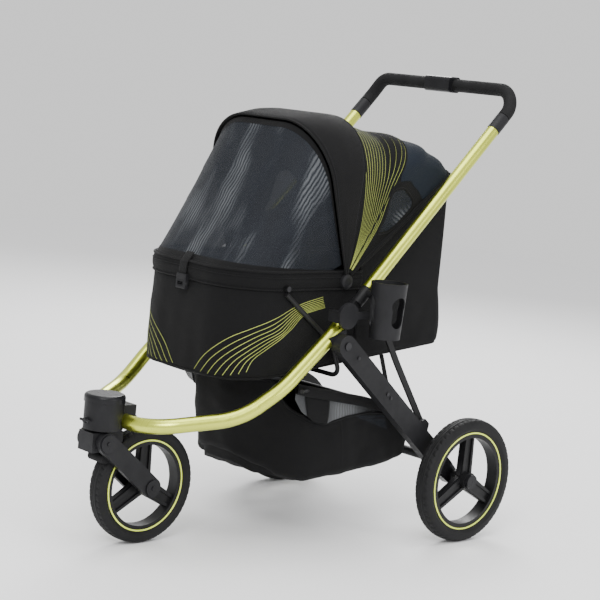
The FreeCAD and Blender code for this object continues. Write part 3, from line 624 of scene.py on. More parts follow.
def rim_band():
    """The padded band round the top of the tub, with a piped upper edge."""
    reach = plan_length(TUB_PLAN, WING_START_Y + 0.03)
    plan = plan_outline(HALF + 0.002, FRONT_Y - 0.002, REAR_Y, FRONT_CORNER + 0.002, REAR_CORNER)

    def band(u, v):
        distance = reach * (2 * u - 1)
        x, y, nx, ny = plan_point(plan, distance)
        angle = math.pi * (v - 0.5)
        bulge = 0.0045 * math.cos(angle) + 0.0006 * ripple(Vector((x, y, v)), 0.05, 1.0)
        return Vector((x + nx * bulge, y + ny * bulge, RIM_BASE + (RIM_TOP - RIM_BASE) * v))

    piece = cloth_sheet("cabin_rim_band_cloth", band, 160, 14, 0.003)
    for label, height, radius in (("upper", RIM_TOP, 0.0030), ("lower", RIM_BASE, 0.0022),
                                  ("middle", RIM_TOP - 0.012, 0.0010)):
        line = []
        for k in range(121):
            x, y, nx, ny = plan_point(plan, reach * (2 * k / 120 - 1))
            out = 0.0042 if label == "middle" else 0.001
            line.append(Vector((x + nx * out, y + ny * out, height)))
        piping("cabin_rim_%s_piping" % label, line, radius)
    inner = [Vector((p[0] - p[2] * 0.012, p[1] - p[3] * 0.012, RIM_TOP - 0.002)) for p in
             (plan_point(plan, TUB_TOTAL * 0.96 * (2 * k / 140 - 1)) for k in range(141))]
    frame_wire = cord_piece("cabin_rim_frame_wire", inner, 0.0060, "black_metal")
    soft(frame_wire, "chassis")
    return piece


# printed waves: (distance round the tub from its front middle, height), outer, middle and inner line
WAVE_OUTER = ((0.057, 0.404), (0.091, 0.446), (0.143, 0.488), (0.187, 0.512), (0.225, 0.530),
              (0.263, 0.548), (0.297, 0.562), (0.333, 0.573), (0.385, 0.584))
WAVE_MIDDLE = ((0.127, 0.402), (0.149, 0.434), (0.177, 0.460), (0.215, 0.488), (0.255, 0.510),
               (0.283, 0.532), (0.311, 0.550), (0.341, 0.560), (0.389, 0.570))
WAVE_INNER = ((0.189, 0.416), (0.201, 0.444), (0.227, 0.468), (0.257, 0.490), (0.291, 0.514),
              (0.313, 0.534), (0.335, 0.547), (0.359, 0.553), (0.393, 0.560))


def tub_prints():
    """Lime wave lines printed on the tub, left and right."""
    rows = [smooth_line(row, 60) for row in (WAVE_OUTER, WAVE_MIDDLE, WAVE_INNER)]
    lines = []
    for sign, shift in ((1, 0.0), (-1, -0.040)):
        for index in range(8):
            part = index / 7
            weights = ((1 - part) * (1 - 2 * part), 4 * part * (1 - part), part * (2 * part - 1))
            line = []
            for places in zip(*rows):
                distance = sum(weight * place[0] for weight, place in zip(weights, places)) + shift
                height = sum(weight * place[1] for weight, place in zip(weights, places))
                line.append(tub_point(sign * distance, height, 0.0010))
            lines.append(line)
    prints = ribbon("tub_lime_print", lines, 0.0012, "print", tub_normal)
    return soft(prints, "chassis")


tub_front = cabin_tub()
rear_cloth = cabin_rear()
rim_cloth = rim_band()
tub_prints()
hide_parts("cabin_tub")
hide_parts("cabin_rear_panel")
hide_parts("cabin_rim")


# ------------------------------------------------------------------ hood
# the hood's cloth from its lip to under the bow: (angle above +Y, reach of the top, corner radius)
HOOD_TABLE = ((37.8, 0.418, 0.028), (42, 0.417, 0.034), (50, 0.406, 0.056), (60, 0.382, 0.088),
              (68, 0.361, 0.128), (99, 0.361, 0.134))
HOOD_HALF = HALF + 0.0030
HOOD_LOW = HOOD_TABLE[0][0]
HOOD_HIGH = HOOD_TABLE[-1][0]
ROOT = 0.022
# the normal of a hood point turns from side to top over this round, beyond this reach
NORMAL_ROUND = 0.075
NORMAL_REACH = 0.30


def hood_section(angle):
    """(reach of the top, corner radius) of the hood's cloth at an angle above +Y."""
    for (a, ra, ca), (b, rb, cb) in zip(HOOD_TABLE, HOOD_TABLE[1:]):
        if angle <= b:
            part = max(0.0, (angle - a) / (b - a))
            part = part * part * (3 - 2 * part)
            return ra + (rb - ra) * part, ca + (cb - ca) * part
    return HOOD_TABLE[-1][1:]


def arch_length(half, reach, corner, root):
    return 2 * (reach - corner - root) + math.pi * corner + 2 * (half - corner)


def arch_at(half, reach, corner, root, distance):
    """(x, reach, normal x, normal reach) along a hood arch, from its left foot."""
    side = reach - corner - root
    bend = corner * math.pi / 2
    top = 2 * (half - corner)
    if distance <= side:
        return half, root + distance, 1.0, 0.0
    if distance <= side + bend:
        turn = (distance - side) / corner
        return (half - corner + corner * math.cos(turn), reach - corner + corner * math.sin(turn),
                math.cos(turn), math.sin(turn))
    if distance <= side + bend + top:
        return half - corner - (distance - side - bend), reach, 0.0, 1.0
    x, out, nx, nr = arch_at(half, reach, corner, root, 2 * (side + bend) + top - distance)
    return -x, out, -nx, nr


def arch_point(half, reach, corner, root, share, angle, lift=0.0):
    """A point on an arch stood at an angle about the hood pivot."""
    length = arch_length(half, reach, corner, root)
    x, out, nx, nr = arch_at(half, reach, corner, root, min(max(share, 0.0), 1.0) * length)
    turn = math.radians(angle)
    out += nr * lift
    return Vector((x + nx * lift, HOOD.x + out * math.cos(turn), HOOD.y + out * math.sin(turn)))


def hood_point(share, angle, lift=0.0):
    """A point on the hood's cloth, with its billow and creases."""
    reach, corner = hood_section(angle)
    flat = arch_point(HOOD_HALF, reach, corner, ROOT, share, angle)
    fade = min(1.0, (angle - HOOD_LOW) / 6.0) * min(1.0, max(0.0, HOOD_HIGH - angle) / 10.0)
    middle = math.sin(math.pi * share)
    crease = 0.0016 * math.sin(math.radians(angle * 13 + 40 * math.sin(share * 9)))
    billow = fade * (crease * middle + 0.0022 * ripple(flat, 0.10, 12.0))
    return arch_point(HOOD_HALF, reach, corner, ROOT, share, angle, lift + billow)


def hood_normal(point):
    """Outward direction near a hood point."""
    side = max(0.0, abs(point.x) - (HOOD_HALF - NORMAL_ROUND))
    out = Vector((0, point.y - HOOD.x, point.z - HOOD.y))
    rise = max(0.0, out.length - NORMAL_REACH) / NORMAL_ROUND
    return (Vector((math.copysign(side / NORMAL_ROUND, point.x), 0, 0)) + out.normalized() * rise * 0.9
            + Vector((0, 0, 1e-6))).normalized()


# outlines on the hood, as (share of the arch from the left foot, angle above +Y)
LENS = ((0.220, 56.8), (0.228, 51.3), (0.221, 43.6), (0.207, 40.4), (0.182, 39.9), (0.147, 40.1),
        (0.123, 42.4), (0.109, 49.0), (0.121, 51.6), (0.146, 52.9), (0.174, 55.9), (0.204, 57.8))
FAN_FRONT = ((0.010, 65), (0.036, 69), (0.118, 74.5), (0.173, 78.0), (0.252, 82.6),
             (0.34, 82.4), (0.5, 82.2))
FAN_REAR = ((0.010, 48), (0.055, 50.5), (0.137, 54.2), (0.197, 57.9), (0.271, 59.6),
            (0.36, 59.4), (0.5, 59.2))


def inside(outline, share, angle):
    """Whether a hood position lies within a closed outline."""
    hit = False
    for (ax, ay), (bx, by) in zip(outline, outline[1:] + outline[:1]):
        if (ay > angle) != (by > angle) and share < (bx - ax) * (angle - ay) / (by - ay) + ax:
            hit = not hit
    return hit


def mirrored_outline(outline):
    return [(1 - share, angle) for share, angle in outline]


def hood_patch(name, outline, material, lift, rings=10):
    """A fan-shaped patch of cloth inside a closed outline on the hood."""
    middle = (sum(p[0] for p in outline) / len(outline), sum(p[1] for p in outline) / len(outline))
    count = len(outline)
    points, uvs = [hood_point(*middle, lift)], [(0.0, 0.0)]
    for ring in range(1, rings + 1):
        part = ring / rings
        for share, angle in outline:
            at = (middle[0] + (share - middle[0]) * part, middle[1] + (angle - middle[1]) * part)
            points.append(hood_point(*at, lift))
            uvs.append(((at[0] - middle[0]) * 0.95, math.radians(at[1] - middle[1]) * 0.3))
    faces = [(0, 1 + k, 1 + (k + 1) % count) for k in range(count)]
    for ring in range(rings - 1):
        base = 1 + ring * count
        faces += [(base + k, base + count + k, base + count + (k + 1) % count, base + (k + 1) % count)
                  for k in range(count)]
    return make_mesh(name, points, faces, material, uvs)


def hood_rear():
    """The fixed hood cloth behind the bow: windows, blue panel, printed fan, seams and bindings."""
    lens = smooth_line(LENS, 72, closed=True)
    holes = [lens, mirrored_outline(lens)]
    across, along = 230, 84
    low_angle, high_angle = 37.9, 91.6

    def at(u, v):
        return hood_point(u, high_angle + (low_angle - high_angle) * v)
    cloth_piece = surface("hood_rear_cloth", at, across, along, "black_cloth")
    mesh = cloth_piece.data
    row = along + 1
    keep = []
    for face in mesh.polygons:
        first = min(face.vertices)
        share = (first // row + 0.5) / across
        angle = high_angle + (low_angle - high_angle) * (first % row + 0.5) / along
        keep.append(not any(inside(hole, share, angle) for hole in holes))
    cut_out(cloth_piece, keep)
    thicken(cloth_piece, 0.0012, 1.0)
    soft(cloth_piece, "chassis")
    for (side_name, _), hole in zip(SIDES, holes):
        soft(hood_patch("hood_window_mesh_" + side_name, hole, "dark_mesh", 0.0002), "chassis")
        edge = [hood_point(share, angle, 0.0010) for share, angle in hole + hole[:1]]
        soft(ribbon("hood_window_binding_" + side_name, [edge], 0.010, "binding", hood_normal),
             "chassis")
        piping("hood_window_piping_" + side_name, edge[:-1], 0.0012, cyclic=True)

    blue_side = ((37.9, 0.262), (39.4, 0.240), (43.1, 0.243), (51.3, 0.249), (56.8, 0.240), (58.6, 0.262))

    def blue_edge(angle):
        for (a, sa), (b, sb) in zip(blue_side, blue_side[1:]):
            if angle <= b:
                return sa + (sb - sa) * (angle - a) / (b - a)
        return blue_side[-1][1]

    blue_top, blue_foot = 58.6, 38.0

    def blue(u, v):
        angle = blue_top + (blue_foot - blue_top) * v
        start = blue_edge(angle)
        return hood_point(start + (1 - 2 * start) * u, angle, 0.0009)
    cloth_sheet("hood_panel_cloth", blue, 110, 30, 0.0, "blue_cloth")
    for name, angle, radius in (("hood_panel_seam", 58.8, 0.0015), ("hood_lip_binding", 38.1, 0.0040),
                                ("hood_front_seam", 83.0, 0.0012)):
        line = [hood_point(k / 150, angle, 0.0012) for k in range(151)]
        piping(name, line, radius)
    stitch_line = [hood_point(0.27 + 0.46 * k / 200, 60.3, 0.0010) for k in range(201)]
    stitches("hood_seam_stitches", stitch_line, 0.006, 0.0036, 0.0006, "chassis", hood_normal)

    front = smooth_line(FAN_FRONT, 60)
    rear = smooth_line(FAN_REAR, 60)
    lines = []
    for index in range(13):
        part = index / 12
        half_line = [((a[0] + b[0]) / 2, b[1] + (a[1] - b[1]) * part) for a, b in zip(front, rear)]
        path = half_line + mirrored_outline(half_line[-2::-1])
        lines.append([hood_point(share, angle, 0.0011) for share, angle in path])
    prints = ribbon("hood_lime_print", lines, 0.0010, "print", hood_normal)
    soft(prints, "chassis")
    return cloth_piece


def cut_out(obj, keep):
    """Leave out the faces that aren't kept, with the points that only they used."""
    mesh = obj.data
    layer = mesh.uv_layers[0].data
    uv_of = {}
    for loop in mesh.loops:
        uv_of[loop.vertex_index] = tuple(layer[loop.index].uv)
    faces = [tuple(face.vertices) for face, kept in zip(mesh.polygons, keep) if kept]
    used = sorted({index for face in faces for index in face})
    renumber = {old: new for new, old in enumerate(used)}
    points = [mesh.vertices[index].co.copy() for index in used]
    material = mesh.materials[0]
    fresh = bpy.data.meshes.new(mesh.name + "_cut")
    fresh.from_pydata([tuple(point) for point in points], [],
                      [tuple(renumber[index] for index in face) for face in faces])
    uv_layer = fresh.uv_layers.new(name="metres")
    for loop in fresh.loops:
        uv_layer.data[loop.index].uv = uv_of[used[loop.vertex_index]]
    for face in fresh.polygons:
        face.use_smooth = True
    fresh.materials.append(material)
    obj.data = fresh


BOW_HALF = bow_high.x
BOW_CORNER = 0.142
BOW_ANGLES = (84.0, 107.0)


def bow_point(share, angle, inset=0.0):
    """A point on the bow's sleeve, puffed outside and inset inside."""
    puff = 0.0
    if inset <= 0:
        middle = math.sin(math.pi * (angle - BOW_ANGLES[0]) / (BOW_ANGLES[1] - BOW_ANGLES[0]))
        puff = 0.0016 * max(0.0, middle) * (0.6 + 0.4 * ripple(Vector((share, angle / 40, 0)), 0.12, 4.0))
    return arch_point(BOW_HALF, BOW_RADIUS, BOW_CORNER, 0.014, share, angle, puff - inset)


def hood_bow():
    """The moving bow: a cloth sleeve round the flat bow, its pipings, hems and pivot discs."""
    a, b = BOW_ANGLES
    loop = [(a + 0.35, 0.0004)] + [(a + (b - a) * k / 14, 0.0) for k in range(1, 14)] + [(b - 0.35, 0.0004)]
    loop += [(b, 0.0025), (b - 0.4, 0.0046)]
    loop += [(b - (b - a) * k / 6, 0.005) for k in range(1, 6)] + [(a + 0.4, 0.0046), (a, 0.0025)]
    loop.append(loop[0])
    count = len(loop) - 1

    def at(u, v):
        angle, inset = loop[min(count, int(round(v * count)))]
        return bow_point(u, angle, inset)
    sleeve = surface("hood_bow_cloth", at, 150, count, "black_cloth")
    soft(sleeve, "hood")
    for name, angle, inset, radius in (("hood_bow_front_piping", b + 0.25, 0.0015, 0.0026),
                                       ("hood_bow_rear_piping", a - 0.15, 0.0015, 0.0018)):
        line = [bow_point(k / 150, angle, inset + 1e-6) for k in range(151)]
        piping(name, line, radius, "hood")
    for name, angle in (("front", b - 1.6), ("rear", a + 1.4)):
        line = [bow_point(0.06 + 0.88 * k / 240, angle, -0.0003) for k in range(241)]
        stitches("hood_bow_stitches_" + name, line, 0.006, 0.0038, 0.0006, "hood", hood_normal)
    for side_name, sign in SIDES:
        disc = turned_disc("hood_pivot_disc_" + side_name, Vector((sign * (BOW_HALF + 0.0006), *HOOD)),
                           sign, ((0.0, 0.0030), (0.0095, 0.0030), (0.0105, 0.0022), (0.0150, 0.0018),
                                  (0.0165, 0.0008), (0.0168, -0.0060)), "black_plastic")
        soft(disc, "hood")
    return sleeve


def turned_disc(name, centre, sign, profile, material, steps=48):
    """A cap turned about X: profile is (radius, height outward) from the middle."""
    points, faces = [], []
    for radius, height in profile:
        for k in range(steps):
            turn = 2 * math.pi * k / steps
            points.append(centre + Vector((sign * height, radius * math.cos(turn), radius * math.sin(turn))))
    for ring in range(len(profile) - 1):
        base = ring * steps
        for k in range(steps):
            ahead = (k + 1) % steps
            face = (base + k, base + ahead, base + steps + ahead, base + steps + k)
            faces.append(face if sign < 0 else face[::-1])
    obj = make_mesh(name, points, faces, material)
    obj.data.set_sharp_from_angle(angle=math.radians(35))
    return obj


hood_cloth = hood_rear()
bow_cloth = hood_bow()
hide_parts("hood_rear_shell")
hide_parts("hood_bow")

# ------------------------------------------------------------------ front mesh screen
SCREEN_HALF = HALF - 0.0022
SCREEN_ROOT = 0.040
# (reach, corner radius, angle above +Y) of the two arches that the mesh is stretched between
SCREEN_TOP = (0.3630, 0.134, 107.3)
SCREEN_FOOT = (0.299, 0.122, 177.0)


def screen_point(share, down, lift=0.0):
    """A point on the taut front mesh: share across the arch, down from the hoop to the rim."""
    reach, corner, angle = SCREEN_TOP
    top = arch_point(SCREEN_HALF + 0.004, reach, corner, SCREEN_ROOT, share, angle)
    reach, corner, angle = SCREEN_FOOT
    foot = arch_point(SCREEN_HALF, reach, corner, SCREEN_ROOT, share, angle)
    foot.z = max(foot.z, RIM_TOP + 0.0016)
    point = top.lerp(foot, down)
    fade = math.sin(math.pi * down) ** 0.7
    inward = Vector((0, 0, 0))
    if abs(point.x) < SCREEN_HALF - 0.02:
        inward = Vector((0, 0.72, -0.69)) * (0.004 * fade)
    wave = 0.0016 * fade * ripple(point, 0.09, 20.0)
    return point + inward + Vector((0, -0.7, 0.7)) * (wave + lift)


def front_screen():
    """See-through mesh, its border tapes and seam."""
    mesh = soft(surface("front_screen_mesh", screen_point, 120, 40, "dark_mesh"), "front_screen")
    share_low = 0.002

    def tape(name, down_from, down_to):
        def at(u, v):
            share = share_low + (1 - 2 * share_low) * u
            point = screen_point(share, down_from + (down_to - down_from) * v)
            outward = Vector((point.x, (point.y - HOOD.x) * 0.9, 0)).normalized()
            return point + outward * 0.0009
        soft(surface(name, at, 120, 4, "binding"), "front_screen")
    tape("screen_top_tape", 0.0, 0.035)
    tape("screen_foot_tape", 0.955, 1.0)
    line = [screen_point(k / 150, 1.0) + Vector((0, 0, 0.001)) for k in range(151)]
    piping("screen_foot_piping", line, 0.0020, "front_screen")
    return mesh


def strap(name, centre_line, width, thickness, body, across=Vector((1, 0, 0)), material="binding"):
    """Flat webbing along a line of points, with ribbed edges."""
    loop = [(-0.5, -0.2), (-0.5, 0.35), (-0.42, 0.5), (-0.1, 0.42), (0.1, 0.42), (0.42, 0.5), (0.5, 0.35),
            (0.5, -0.2), (0.42, -0.5), (-0.42, -0.5)]
    points, faces, uvs = [], [], []
    run = 0.0
    for k, point in enumerate(centre_line):
        ahead = centre_line[min(k + 1, len(centre_line) - 1)] - centre_line[max(k - 1, 0)]
        up = across.cross(ahead).normalized()
        if k:
            run += (point - centre_line[k - 1]).length
        for side, out in loop:
            points.append(point + across * side * width + up * out * thickness)
            uvs.append((side * width, run))
    count = len(loop)
    for k in range(len(centre_line) - 1):
        for j in range(count):
            faces.append((k * count + j, k * count + (j + 1) % count,
                          (k + 1) * count + (j + 1) % count, (k + 1) * count + j))
    faces += [tuple(range(count))[::-1], tuple((len(centre_line) - 1) * count + j for j in range(count))]
    return soft(make_mesh(name, points, faces, material, uvs), body)


screen_mesh = front_screen()
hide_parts("front_screen")


def front_closure():
    """The webbing tab over the rim, and ribs on the buckle."""
    low, high = corners_of("front_buckle")
    y = low.y + 0.004
    line = [Vector((0, rim_low.y + 0.010, RIM_TOP + 0.020)), Vector((0, rim_low.y + 0.001, RIM_TOP + 0.008)),
            Vector((0, rim_low.y - 0.007, RIM_TOP - 0.002)), Vector((0, rim_low.y - 0.009, RIM_TOP - 0.016)),
            Vector((0, rim_low.y - 0.009, high.z + 0.002)), Vector((0, y + 0.002, high.z - 0.004))]
    strap("front_screen_tab", line, 0.026, 0.0018, "front_screen")
    points, faces = [], []
    for k in range(5):
        z = low.z + 0.005 + 0.0034 * k
        base = len(points)
        for x in (-0.011, 0.011):
            points += [Vector((x, low.y + 0.0003, z)), Vector((x, low.y - 0.0009, z + 0.0008)),
                       Vector((x, low.y + 0.0003, z + 0.0016))]
        faces += [(base, base + 1, base + 4, base + 3), (base + 1, base + 2, base + 5, base + 4)]
    soft(make_mesh("front_buckle_ribs", points, faces, "black_plastic", smooth=False), "chassis")
    for side_name, sign in SIDES:
        prong = turned_disc("buckle_prong_" + side_name,
                            Vector((sign * (high.x - 0.0012), (low.y + high.y) / 2, low.z + 0.012)), sign,
                            ((0.0, 0.0026), (0.0032, 0.0024), (0.0045, 0.0014), (0.0048, -0.0006)),
                            "black_plastic", steps=24)
        soft(prong, "chassis")


front_closure()

# ------------------------------------------------------------------ basket
# heights at y of the floor, of the cloth's upper edge with its side scoop, and of the side rails
BASKET_FLOOR = ((-0.240, 0.2240), (-0.130, 0.1780), (-0.094, 0.1580), (-0.030, 0.1505), (0.070, 0.1610),
                (0.150, 0.1680), (0.237, 0.1780), (0.310, 0.1880))
BASKET_EDGE = ((-0.185, 0.3755), (-0.106, 0.3845), (-0.098, 0.3560), (-0.071, 0.3210), (-0.029, 0.2960),
               (0.009, 0.2870), (0.077, 0.3010), (0.148, 0.3060), (0.230, 0.2985), (0.310, 0.2850))
RAIL_HEIGHTS = ((-0.104, 0.3820), (-0.060, 0.3720), (0.120, 0.3380), (0.296, 0.2940))
BASKET_HALF = basket_high.x - 0.0015
BASKET_REAR = basket_high.y - 0.0015
BASKET_NOSE = ((BASKET_HALF, 0.040), (0.1885, -0.034), (0.1445, -0.094), (0.1030, -0.1385),
               (0.0550, -0.1780))
BASKET_BEND = 0.020
# the climb from the floor's spine: the floor, then the bend, then the wall
FLOOR_SHARE = 0.40
BEND_SHARE = 0.14
WALL_START = 0.54
WALL_SHARE = 0.46


def height_on(table, y):
    """The height that a table of (y, height) gives at y."""
    for (a, za), (b, zb) in zip(table, table[1:]):
        if y <= b:
            return za + (zb - za) * max(0.0, (y - a) / (b - a))
    return table[-1][1]


def rounded_run(corners, radius, steps=7):
    """An open line of plan points with its inner corners rounded."""
    line = [corners[0]]
    for before, here, after in zip(corners, corners[1:], corners[2:]):
        ahead, back = (after - here), (before - here)
        reach = min(radius, 0.45 * ahead.length, 0.45 * back.length)
        start, end = here + back.normalized() * reach, here + ahead.normalized() * reach
        for k in range(steps + 1):
            t = k / steps
            line.append(start * (1 - t) ** 2 + here * (2 * t * (1 - t)) + end * t ** 2)
    return line + [corners[-1]]


BASKET_PLAN = rounded_run(
    [Vector((0, BASKET_REAR, 0)), Vector((BASKET_HALF, BASKET_REAR, 0))]
    + [Vector((x, y, 0)) for x, y in BASKET_NOSE]
    + [Vector((-x, y, 0)) for x, y in reversed(BASKET_NOSE)]
    + [Vector((-BASKET_HALF, BASKET_REAR, 0)), Vector((0, BASKET_REAR, 0))], 0.030)


def place_on(line, share):
    """The point and direction a share of the way along a line."""
    lengths = [(there - here).length for here, there in zip(line, line[1:])]
    left = min(max(share, 0.0), 1.0) * sum(lengths)
    for here, there, length in zip(line, line[1:], lengths):
        if left <= length or there is line[-1]:
            return here.lerp(there, left / length), (there - here).normalized()
        left -= length


def basket_point(share, climb, lift=0.0):
    """share goes round from the rear middle; climb goes from 0 on the floor's spine to 1 on top."""
    spot, ahead = place_on(BASKET_PLAN, share)
    out = Vector((-ahead.y, ahead.x, 0)) * -1.0
    if out.dot(spot - Vector((0, 0.05, 0))) < 0:
        out.negate()
    edge_z = height_on(BASKET_EDGE, spot.y)
    if spot.y > BASKET_REAR - 0.004:
        edge_z = height_on(BASKET_EDGE, BASKET_REAR)
    base_z = height_on(BASKET_FLOOR, spot.y)
    # the cloth's nose slopes back towards the floor
    wall_part = max(0.0, (climb - WALL_START) / WALL_SHARE)
    pull = 0.026 * min(1.0, max(0.0, (-0.02 - spot.y) / 0.10)) * (1 - wall_part ** 1.3)
    spot = spot + Vector((0, pull, 0))
    spine = Vector((0, min(max(spot.y, -0.09), 0.20), 0))
    foot = spot - out * BASKET_BEND
    if climb < FLOOR_SHARE:
        part = climb / FLOOR_SHARE
        here = spine.lerp(foot, part)
        here.z = height_on(BASKET_FLOOR, here.y)
        up = Vector((0, 0, -1))
    elif climb < WALL_START:
        turn = math.pi / 2 * (climb - FLOOR_SHARE) / BEND_SHARE
        here = foot + out * BASKET_BEND * math.sin(turn)
        here.z = base_z + BASKET_BEND * (1 - math.cos(turn))
        up = out * math.sin(turn) - Vector((0, 0, math.cos(turn)))
    else:
        part = (climb - WALL_START) / WALL_SHARE
        here = spot.copy()
        here.z = base_z + BASKET_BEND + (edge_z - base_z - BASKET_BEND) * part
        up = out
        lift += 0.0035 * math.sin(math.pi * part)
    fold = 0.0042 * ripple(here, 0.085, 30.0) + 0.0020 * ripple(here, 0.032, 31.0)
    lift += (fold - 0.0004) * (0.35 if climb > 0.95 else 1.0)
    return here + up * lift


def basket_side(y, height, sign, lift=0.0):
    """A point of the side wall at y and a height."""
    low = height_on(BASKET_FLOOR, y) + BASKET_BEND
    high = height_on(BASKET_EDGE, y)
    climb = WALL_START + WALL_SHARE * min(1.0, max(0.0, (height - low) / (high - low)))
    best = min((k / 900 for k in range(90, 420)),
               key=lambda share: abs(place_on(BASKET_PLAN, share)[0].y - y)
               + (0 if place_on(BASKET_PLAN, share)[0].x > 0.1 else 1))
    here = basket_point(best, climb, lift)
    return Vector((sign * here.x, here.y, here.z))


def basket():
    """Hanging cloth basket: body, mesh gussets, rail sleeves, straps, seams and bindings."""
    body = cloth_sheet("basket_cloth", basket_point, 168, 64, 0.0014)
    edge = [basket_point(k / 260, 1.0, 0.0008) for k in range(260)]
    piping("basket_edge_binding", edge, 0.0028, cyclic=True)
    for side_name, sign in SIDES:
        def gusset(u, v, sign=sign):
            y = -0.094 + 0.376 * u
            low = height_on(BASKET_EDGE, y) + 0.001
            top = max(height_on(RAIL_HEIGHTS, y) - 0.004, low + 0.001)
            bow = 0.0030 * math.sin(math.pi * v) * math.sin(math.pi * u)
            return Vector((sign * (BASKET_HALF - 0.0015 - bow), y, low + (top - low) * v))
        cloth_sheet("basket_gusset_mesh_" + side_name, gusset, 70, 12, 0.0, "gusset_mesh")

        def flap(u, v, sign=sign):
            y = -0.052 + 0.066 * u - 0.018 * v * (1 - u)
            low = height_on(BASKET_EDGE, y)
            top = height_on(RAIL_HEIGHTS, y) - 0.002
            return Vector((sign * (BASKET_HALF + 0.0004 + 0.002 * math.sin(math.pi * v)), y,
                           low + (top - low) * v))
        cloth_sheet("basket_divider_cloth_" + side_name, flap, 16, 12, 0.001)

        def patch(u, v, sign=sign):
            y = 0.100 + 0.100 * u + 0.014 * v
            return basket_side(y, 0.302 - 0.006 * u - (0.006 + 0.030 * u) * v, sign, 0.0016)
        cloth_sheet("basket_patch_mesh_" + side_name, patch, 20, 8, 0.0, "dark_mesh")

        def sleeve(u, v, sign=sign):
            y = -0.098 + 0.386 * u
            turn = 2 * math.pi * v
            droop = 0.005 if math.sin(turn) < -0.5 else 0.0
            return Vector((sign * (BASKET_HALF + 0.0045 + 0.0058 * math.cos(turn)), y,
                           height_on(RAIL_HEIGHTS, y) + 0.0100 * math.sin(turn) - droop))
        cloth_sheet("basket_sleeve_cloth_" + side_name, sleeve, 80, 18)
        seam = [basket_side(0.058 + 0.014 * k / 30, 0.292 - 0.108 * k / 30, sign, 0.0008) for k in range(31)]
        piping("basket_side_seam_" + side_name, seam, 0.0012)
        hang = [Vector((sign * (0.190 + 0.0235 * k / 8), 0.184 + 0.026 * k / 8, 0.441 - 0.122 * k / 8))
                for k in range(9)]
        strap("basket_hanging_strap_" + side_name, hang, 0.014, 0.0014, "chassis", Vector((0, 1, 0)))
    lip = [Vector((sign * x, y, z)) for sign, x, y, z in
           ((-1, 0.150, -0.108, 0.3740), (-1, 0.128, -0.124, 0.3738), (-1, 0.108, -0.141, 0.3734))]
    strap("basket_corner_tab", lip, 0.016, 0.0016, "chassis", Vector((0, 0, 1)))
    return body


basket_cloth = basket()
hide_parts("basket")


# ------------------------------------------------------------------ tyres
def tyre(prefix, body, radius, width, centre):
    """A grooved tyre: sidewall rings, shoulder blocks and a zigzag tread."""
    half = width / 2
    bead = radius * 0.80
    side = [(0.75, bead + 0.0002), (0.86, radius * 0.825), (0.94, radius * 0.845), (0.975, radius * 0.852),
            (0.985, radius * 0.860), (1.0, radius * 0.872), (0.995, radius * 0.884), (0.985, radius * 0.890),
            (0.982, radius * 0.905), (0.965, radius * 0.925), (0.93, radius * 0.945),
            (0.875, radius * 0.962)]
    crown = []
    for k in range(21):
        x = 0.82 - 0.082 * k
        crown.append((x, radius * (0.9695 + 0.0305 * math.sqrt(max(0.0, 1 - (x / 0.86) ** 2)))))
    profile = side + crown + [(-x, r) for x, r in reversed(side)]
    profile += [(-0.4, bead), (0.0, bead), (0.4, bead)]
    count, steps = len(profile), 324
    blocks = 54
    points, faces, uvs = [], [], []
    for k in range(steps):
        turn = 2 * math.pi * k / steps
        phase = (k * blocks / steps) % 1.0
        for index, (x, r) in enumerate(profile):
            depth = 0.0
            if len(side) <= index < len(side) + len(crown):
                across = abs(x)
                if 0.25 < across < 0.34:
                    depth = 0.0016
                elif across >= 0.34:
                    shifted = (phase + 0.35 * across + (0.5 if x < 0 else 0.0)) % 1.0
                    depth = 0.0017 if shifted < 0.22 else 0.0
                elif across < 0.06:
                    depth = 0.0009
            elif 0.93 <= abs(x) < 0.97 and r > radius * 0.92:
                depth = 0.0009 if phase < 0.3 else 0.0
            reach = r - depth
            points.append(centre + Vector((x * half, reach * math.sin(turn), reach * math.cos(turn))))
            uvs.append((turn * radius, index * 0.004))
    for k in range(steps):
        ahead = (k + 1) % steps
        faces += [(k * count + j, ahead * count + j, ahead * count + (j + 1) % count,
                   k * count + (j + 1) % count) for j in range(count)]
    obj = make_mesh(prefix + "_tyre_detail", points, faces, "tyre_rubber", uvs)
    obj.data.set_sharp_from_angle(angle=math.radians(38))
    soft(obj, body)
    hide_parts(prefix + "_tyre")


for prefix in ("front_wheel", "rear_wheel_left", "rear_wheel_right"):
    low, high = corners_of(prefix + "_tyre")
    middle = (low + high) / 2
    tyre(prefix, prefix, (high.z - low.z) / 2, high.x - low.x, middle)


# ------------------------------------------------------------------ floor pad
PAD_VOXEL = 0.0065
PAD_FRAMES = 20
PAD_SWELL = 0.006
QUILT_PITCH = 0.12
QUILT_WIDTH = 0.007
QUILT_DEPTH = 0.0045


